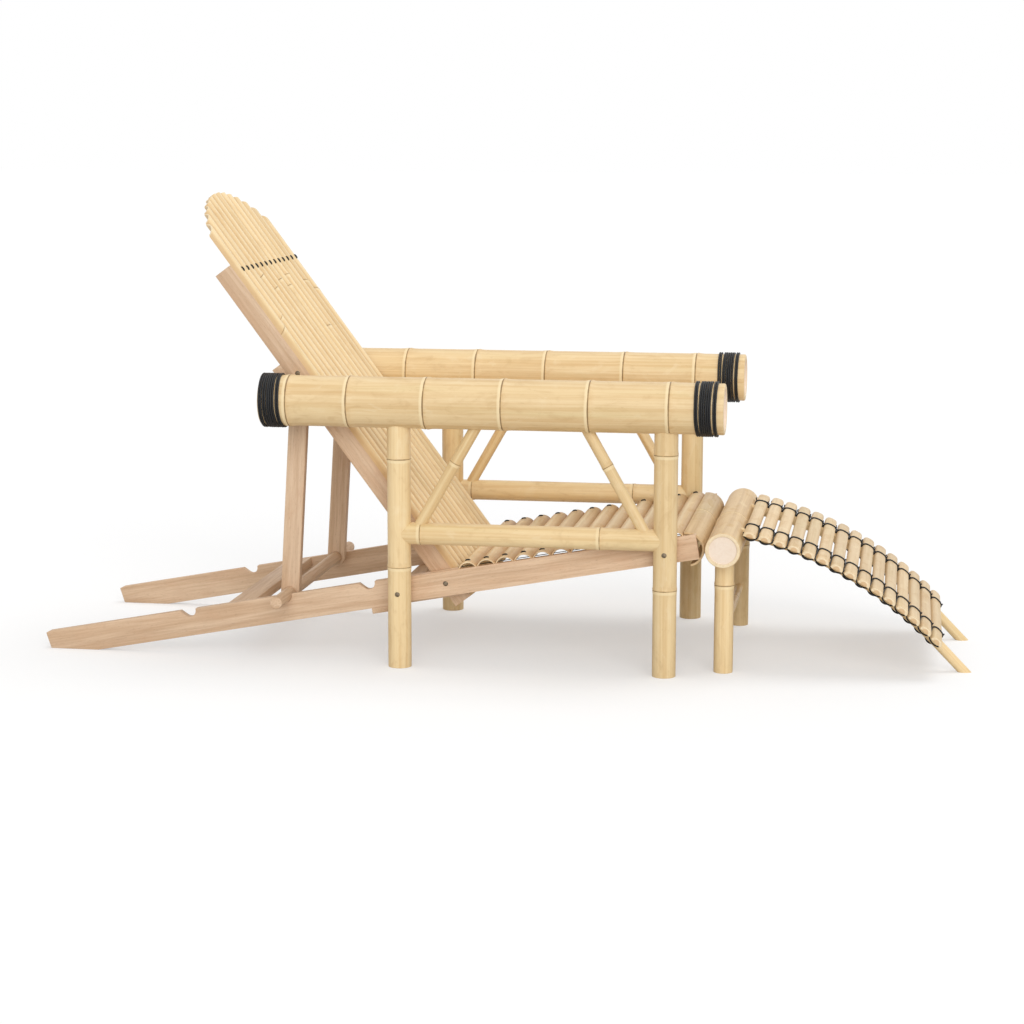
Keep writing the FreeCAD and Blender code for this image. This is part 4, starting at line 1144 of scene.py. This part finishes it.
# %% [markdown]
# ## Seat slats
# Twelve split lengths lie across the seat rails, hollow side down. Their nodes are planed off, so only
# a trace of the ridge is left, at a place of its own on each slat, and the skin shows no mark there.

# %% Seat slats
SEAT_HALF, SEAT_FROM, SEAT_END, RAIL_TOP = 268.0, 30.2, 511.41, 26.0
SEAT_COUNT, SLAT_HEIGHT = 12, 12.5
SEAT_PITCH = (SEAT_END - SEAT_FROM) / SEAT_COUNT
rail_up = on_rail(0, 0, 1) - on_rail(0, 0, 0)
seat_places = [SEAT_FROM + SEAT_PITCH * (i + 0.5) for i in range(SEAT_COUNT)]
pattern = slat_pattern("seat slat", (SEAT_PITCH - 0.5) / 2, SLAT_HEIGHT, 3.2, 2 * SEAT_HALF, SEAT_HALF,
                       ridge=0.15, reach=6.0)
rows = []
for place in seat_places:
    foot = on_rail(place, -SEAT_HALF, RAIL_TOP)
    rows.append((foot, ACROSS, rail_up, (SEAT_HALF + dice.uniform(-190, 190)) * MM))
seat = lay_slats("seat_slat_row", rows, pattern, SEAT_HALF, 2 * SEAT_HALF, skin_sling)
plane_off(seat)
keep(seat, "frame", "seat_bamboo", "seat_slats")

# %% [markdown]
# ## Back slats
# Thirteen long slats run up the back, close together. The top is sawn to an arch, so each slat is
# shortened by the arch over its own width. The nodes that the photograph shows near the head are put
# at their measured places.

# %% Back slats
BACK_FOOT, BACK_TOP, ARCH_R, BACK_HALF = -53.0, 976.0, 348.0, 241.5
BACK_COUNT, BACK_SEAT, BACK_PATTERN_NODE = 13, 20.0, 770.0
BACK_PITCH = 2 * BACK_HALF / BACK_COUNT
BACK_LENGTH = BACK_TOP - BACK_FOOT
BACK_NODES = (638, 662, 250, 763, 727, 310, 743, 723, 749, 605, 350, 722, 695)
back_up = on_back(1, 0, 0) - on_back(0, 0, 0)
back_out = on_back(0, 0, 1) - on_back(0, 0, 0)
back_places = [-BACK_HALF + BACK_PITCH * (i + 0.5) for i in range(BACK_COUNT)]


def arch_share(y):
    """How much of the full length is left under the arch at y."""
    top = BACK_TOP - ARCH_R + math.sqrt(ARCH_R ** 2 - y * y)
    return (top - BACK_FOOT) / BACK_LENGTH


pattern = slat_pattern("back slat", (BACK_PITCH - 0.35) / 2, SLAT_HEIGHT, 4.5, BACK_LENGTH,
                       BACK_PATTERN_NODE, ridge=0.8, reach=5.0)
rows = []
for y, node in zip(back_places, BACK_NODES):
    node = (node - BACK_FOOT) / arch_share(y) * MM
    rows.append((on_back(BACK_FOOT, y, BACK_SEAT), back_up, back_out, node))
back = lay_slats("back_slat_panel", rows, pattern, BACK_PATTERN_NODE, BACK_LENGTH, skin_back)
foot_point = on_back(BACK_FOOT, 0, 0)
axis = back_up.normalized()
for v in back.data.vertices:
    t = (v.co - foot_point).dot(axis)
    v.co += axis * (t * (arch_share(v.co.y / MM) - 1))
keep(back, "back", "back_bamboo", "back_slats")

# %% [markdown]
# ## Footrest slats
# Fifteen solid half-round slats lie across the two poles, evenly spaced along their bend.

# %% Footrest slats
REST_COUNT, REST_HALF, REST_HEIGHT = 15, 250.0, 11.0
FIRST_DEG, STEP_DEG = 12.26, (45.9 - 1.21 - 12.26) / (REST_COUNT - 1)
SEAT_BEND = POLE_BEND + POLE_R
SLAT_HALF = (math.radians(STEP_DEG) * (SEAT_BEND + REST_HEIGHT) - 5.15) / 2
rest_places = []
for i in range(REST_COUNT):
    degrees = FIRST_DEG + STEP_DEG * i
    rest_places.append((degrees, on_arc(degrees, 2.0) - on_arc(degrees, 1.0)))
pattern = slat_pattern("footrest slat", SLAT_HALF, REST_HEIGHT, 0.0, 2 * REST_HALF, REST_HALF,
                       ridge=0.0, reach=5.0, step=50.0, count=18)
rows = [(on_arc(degrees, SEAT_BEND, -REST_HALF), ACROSS, outward, REST_HALF * MM)
        for degrees, outward in rest_places]
rest = lay_slats("footrest_slat_row", rows, pattern, REST_HALF, 2 * REST_HALF, skin_slat, cut_slat)
plane_off(rest)
keep(rest, "footrest", "slat_bamboo", "footrest_slats")

# %% [markdown]
# ## A tree that makes cord
# A cord is a round tube along a line. The line is a mesh of edges, so that it can be built from plain
# points. The tree measures the length along it and the angle round it, and stores both for the waxed
# cord's twist.

# %% Cord tree
def cord_nodes(t, edges, radius, sides):
    """Nodes that turn edges into a smooth tube and store its lay."""
    def captured(geometry, label, value):
        store_value = t.node("GeometryNodeCaptureAttribute", domain="POINT")
        store_value.capture_items.new("FLOAT", label)
        t.put(store_value.inputs["Geometry"], geometry)
        t.put(store_value.inputs[label], value)
        return store_value.outputs

    curve = t.add("GeometryNodeMeshToCurve", {"Mesh": edges})
    line = captured(curve, "Run", t.add("GeometryNodeSplineParameter", {}, "Length"))
    circle = t.add("GeometryNodeCurvePrimitiveCircle", {"Resolution": sides, "Radius": radius})
    factor = t.add("GeometryNodeSplineParameter", {}, "Factor")
    ring = captured(circle, "Turn", t.math("MULTIPLY", factor, 2 * math.pi))
    tube = t.add("GeometryNodeCurveToMesh", {"Curve": line["Geometry"], "Profile Curve": ring["Geometry"],
                                             "Fill Caps": True})
    lay = t.add("ShaderNodeCombineXYZ", {0: line["Run"], 1: t.math("COSINE", ring["Turn"]),
                                         2: t.math("SINE", ring["Turn"])})
    return t.add("GeometryNodeSetShadeSmooth", {"Geometry": t.keep(tube, "lay", lay, "FLOAT_VECTOR")})


CORD_INPUTS = {"Radius": "Float", "Sides": "Int", "Finish": "Material"}


def cord_tree():
    t = Tree("cord", CORD_INPUTS)
    tube = cord_nodes(t, t.given["Geometry"], t.given["Radius"], t.given["Sides"])
    return t.end(t.finish(tube, t.given["Finish"]))


def tie_tree():
    """The same cord, repeated on every point of a small mesh of points."""
    t = Tree("ties", {"Path": "Object", **CORD_INPUTS})
    path = t.add("GeometryNodeObjectInfo", {"Object": t.given["Path"]}, "Geometry")
    tube = cord_nodes(t, path, t.given["Radius"], t.given["Sides"])
    real, _ = t.copies(t.given["Geometry"], tube)
    return t.end(t.finish(real, t.given["Finish"]))


cord_maker, tie_maker = cord_tree(), tie_tree()


def path_object(name, lines):
    """A mesh of edges from lists of points in metres; each list is (points, closed)."""
    verts, edges = [], []
    for points, closed in lines:
        base = len(verts)
        verts += [tuple(p) for p in points]
        edges += [(base + i, base + i + 1) for i in range(len(points) - 1)]
        if closed:
            edges.append((len(verts) - 1, base))
    mesh = bpy.data.meshes.new(name)
    mesh.from_pydata(verts, edges, [])
    return new_object(name, mesh)


def rounded(points, closed, steps=5):
    """A smooth line through the given points."""
    count = len(points)
    line = []
    for i in range(count if closed else count - 1):
        four = []
        for k in (-1, 0, 1, 2):
            index = (i + k) % count if closed else min(max(i + k, 0), count - 1)
            four.append(Vector(points[index]))
        a, b, c, d = four
        for j in range(steps):
            u = j / steps
            line.append((b * 2 + (c - a) * u + (a * 2 - b * 5 + c * 4 - d) * u * u
                         + (b * 3 - a - c * 3 + d) * u ** 3) * 0.5)
    if not closed:
        line.append(Vector(points[-1]))
    return line


# %% [markdown]
# ## Bindings of the arms
# A doubled cord is wound five times round each end of both arms, with a wider first and last turn that
# lets a sliver of bamboo show. Two strands run side by side and waver a little, as a hand leaves them.
# The places along the arm are given for every quarter turn, so that the near side can follow the
# photograph. The ends are tucked under on the side of each arm that looks towards +y.

# %% Arm bindings
CORD_R = 2.02
STRAND_APART = 2.05
QUARTER_STEPS = 12
TUCK_STEPS, TUCK_DEPTH = 7, 2.4
WINDINGS = {
    "rear": (-284.0, -283.2, -281.8, -280.4, -277.0, -275.0, -272.9, -269.2, -268.5, -266.5, -264.3, -260.8,
             -260.0, -258.0, -255.7, -252.3, -251.0, -248.8, -245.8, -242.6, -241.7),
    "front": (617.5, 619.5, 620.1, 623.5, 626.5, 631.0, 629.8, 632.0, 636.0, 639.5, 638.2, 640.4,
              645.0, 647.9, 646.6, 648.8, 654.5, 658.4, 657.3, 659.2, 661.0)}


def winding(quarters, side, seed):
    """Two strands wound round an arm as lists of points; one place is given for each quarter turn."""
    shake = random.Random(seed)
    steps = QUARTER_STEPS * (len(quarters) - 1)
    strands = []
    for strand in (-1, 1):
        phase = [shake.uniform(0, 6.28) for _ in range(3)]
        points = []
        for i in range(steps + 1):
            turns = i / (4 * QUARTER_STEPS)
            index = min(i // QUARTER_STEPS, len(quarters) - 2)
            share = i / QUARTER_STEPS - index
            share = share * share * (3 - 2 * share)
            x = quarters[index] + (quarters[index + 1] - quarters[index]) * share + strand * STRAND_APART
            x += 0.22 * math.sin(turns * 4.1 + phase[0]) + 0.12 * math.sin(turns * 9.7 + phase[1])
            tuck = max(0.0, 1 - min(i, steps - i) / TUCK_STEPS) ** 2
            r = ARM_R + 0.30 + CORD_R + 0.12 * math.sin(turns * 7.3 + phase[2]) - TUCK_DEPTH * tuck
            angle = 2 * math.pi * turns
            points.append(at(x, side * ARM_Y + r * math.cos(angle), ARM_Z + r * math.sin(angle)))
        strands.append((points, False))
    return strands


for side, tag in SIDES:
    for seed, (end, quarters) in enumerate(WINDINGS.items(), 3):
        obj = path_object(f"arm_cord_{end}_{tag}", winding(quarters, side, seed * 10 + side))
        run(cord_maker, obj, {"Radius": CORD_R * MM, "Sides": 12, "Finish": cord})
        keep(obj, "frame", "black_cord", f"arm_binding_{end}_{tag}")
print("binding", len(obj.data.polygons), "faces")

# %% [markdown]
# ## Lashings of the footrest
# Every slat is tied to both poles with a doubled cord. The two strands run side by side over the
# crest, part into a small eye near one edge, go down both edges of the slat and round under the pole.
# A knot sits beside the eye, and the cord's end is carried out along the slat and hooked round its
# sawn end. The shape is drawn once for each hand: the first five slats have the knot on one edge, the
# others on the opposite one. Each is laid on points along the pole.

# %% Footrest lashings
TIE_R = 1.3
TIE_APART = 1.35
TIE_GAP = 0.1
TURNED = 5
HOOK = ((14.6, 0, 7.5), (15.2, 14, 5.0), (15.3, 34, 2.5), (15.2, 54, 0.5), (14.2, 68, -2.2),
        (9.5, 76, -5.2), (2, 79, -6.4), (-6, 79, -5.6), (-12, 77, -3.0), (-15.0, 73, 0.8), (-15.1, 70, 4.0))


def lashing_lines(hand, out):
    """Two strands round slat and pole, a knot, and the cord's end hooked round the slat's own end."""
    lines = []
    for s in (1, -1):
        loop = []
        for degrees in (-78, -60, -42, -22, 0, 22, 36, 48, 60, 72):
            a = math.radians(degrees)
            across = math.copysign(abs(math.sin(a)) ** BLUNTNESS, a) * (SLAT_HALF + TIE_R + TIE_GAP)
            eye = 1.7 * math.exp(-(((degrees - 50) / 10) ** 2))
            high = math.cos(a) ** BLUNTNESS * (REST_HEIGHT + TIE_R + TIE_GAP)
            loop.append((across, s * (TIE_APART + eye), high))
        for degrees in range(0, 176, 25):
            a = math.radians(degrees)
            apart = TIE_APART + 1.6 * math.sin(a) + 0.5 * s
            loop.append((15.1 * math.cos(a), s * apart, -9.0 - 14.2 * math.sin(a)))
        lines.append((rounded([Vector(p) * MM for p in loop], True, 4), True))
    knot = []
    for i in range(9):
        angle = math.radians(-25 + 230 * i / 8)
        knot.append(Vector((12.6, 3.1 * math.cos(angle), 10.4 + 2.2 * math.sin(angle))) * MM)
    lines.append((rounded(knot, False, 2), False))
    line = [Vector((hand * x, out * y, z)) * MM for x, y, z in HOOK]
    beside = [p + Vector((0, out * 1.9 * MM, -0.5 * MM)) for p in line[2:]]
    return lines + [(rounded(strand, False, 3), False) for strand in (line, beside)]


def tie(name, rows, lines, radius, body, *nodes):
    """Lay cord that follows the lines on every point of the rows."""
    obj = row_points(name, rows)
    path = path_object(name + " path", lines)
    run(tie_maker, obj, {"Path": path, "Radius": radius * MM, "Sides": 8, "Finish": cord})
    bpy.data.objects.remove(path)
    return keep(obj, body, "black_cord", *nodes)


for side, tag in SIDES:
    rows = []
    for degrees, outward in rest_places:
        ahead = along_arc(degrees) + ACROSS * dice.uniform(-0.03, 0.03)
        rows.append((on_arc(degrees, SEAT_BEND, side * POLE_Y), ahead, outward, 0.0))
    tie("footrest_lashing_upper_cord_" + tag, rows[:TURNED], lashing_lines(1, side), TIE_R,
        "footrest", "footrest_lashing_" + tag)
    low = tie("footrest_lashing_lower_cord_" + tag, rows[TURNED:], lashing_lines(-1, side), TIE_R, "footrest")
print("lower lashings of one pole", len(low.data.polygons), "faces")

# %% [markdown]
# ## Stitches and strings
# The back slats are sewn to the head batten: a short doubled stitch shows on the crest of each. A
# stitch shows on each crest of the seat slats too, and bends down a little with the crest. The two
# thin strings that join the seat slats run just above the rails, where the slats hide them.

# %% Stitches
STITCH_R = 1.35
SEAT_STITCH_Y = 250.0
HALF_CREST = ((4.7, -2.6), (4.4, 0.1), (3.2, 1.15), (1.2, 1.4))
CREST = [(-x, z) for x, z in HALF_CREST] + list(HALF_CREST[::-1])


def stitch_lines(bend):
    """Two short strands that come out of a slat, follow its crest and go back in."""
    lines = []
    for s in (-1, 1):
        points = [Vector((x, s * 1.4, z - (x * x / (2 * bend) if bend else 0.0))) * MM for x, z in CREST]
        lines.append((rounded(points, False, 3), False))
    return lines


rows = [(on_back(786.0, y, BACK_SEAT + SLAT_HEIGHT), back_up, back_out, 0.0) for y in back_places]
tie("back_stitches", rows, stitch_lines(0), STITCH_R, "back", "back_stitching")
rows = [(on_rail(place, y, RAIL_TOP + SLAT_HEIGHT), rail_way, rail_up, 0.0)
        for place in seat_places for y in (-SEAT_STITCH_Y, SEAT_STITCH_Y)]
tie("seat_stitches", rows, stitch_lines(21.9), STITCH_R, "frame")

# %% Seat strings
STRING_R, STRING_STEPS = 0.8, 24
lines = []
for y in (-SEAT_STITCH_Y, SEAT_STITCH_Y):
    run_length = SEAT_END - SEAT_FROM + 3.7
    line = [on_rail(SEAT_FROM - 3 + run_length * i / STRING_STEPS, y, RAIL_TOP + 1.0)
            for i in range(STRING_STEPS + 1)]
    lines.append((line, False))
obj = path_object("seat_string_cords", lines)
run(cord_maker, obj, {"Radius": STRING_R * MM, "Sides": 10, "Finish": cord})
keep(obj, "frame", "black_cord", "seat_cords")

# %% [markdown]
# ## Bolts and nuts
# The bolts and nuts keep their CAD shape. A fine bevel lets their edges catch the light.

# %% Bolts and nuts
FASTENERS = {"leg_bolts": "frame", "leg_bolt_nuts": "frame", "pivot_bolts": "frame", "pivot_nuts": "frame",
             "prop_pivot_bolts": "back", "prop_pivot_nuts": "back"}
for node, body in FASTENERS.items():
    keep(softened(node, node + "_steel", 0.35, steel, ACROSS), body, "bolt_steel", node)
print("left as CAD nodes:", [n for n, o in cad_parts.items() if not o.hide_render])
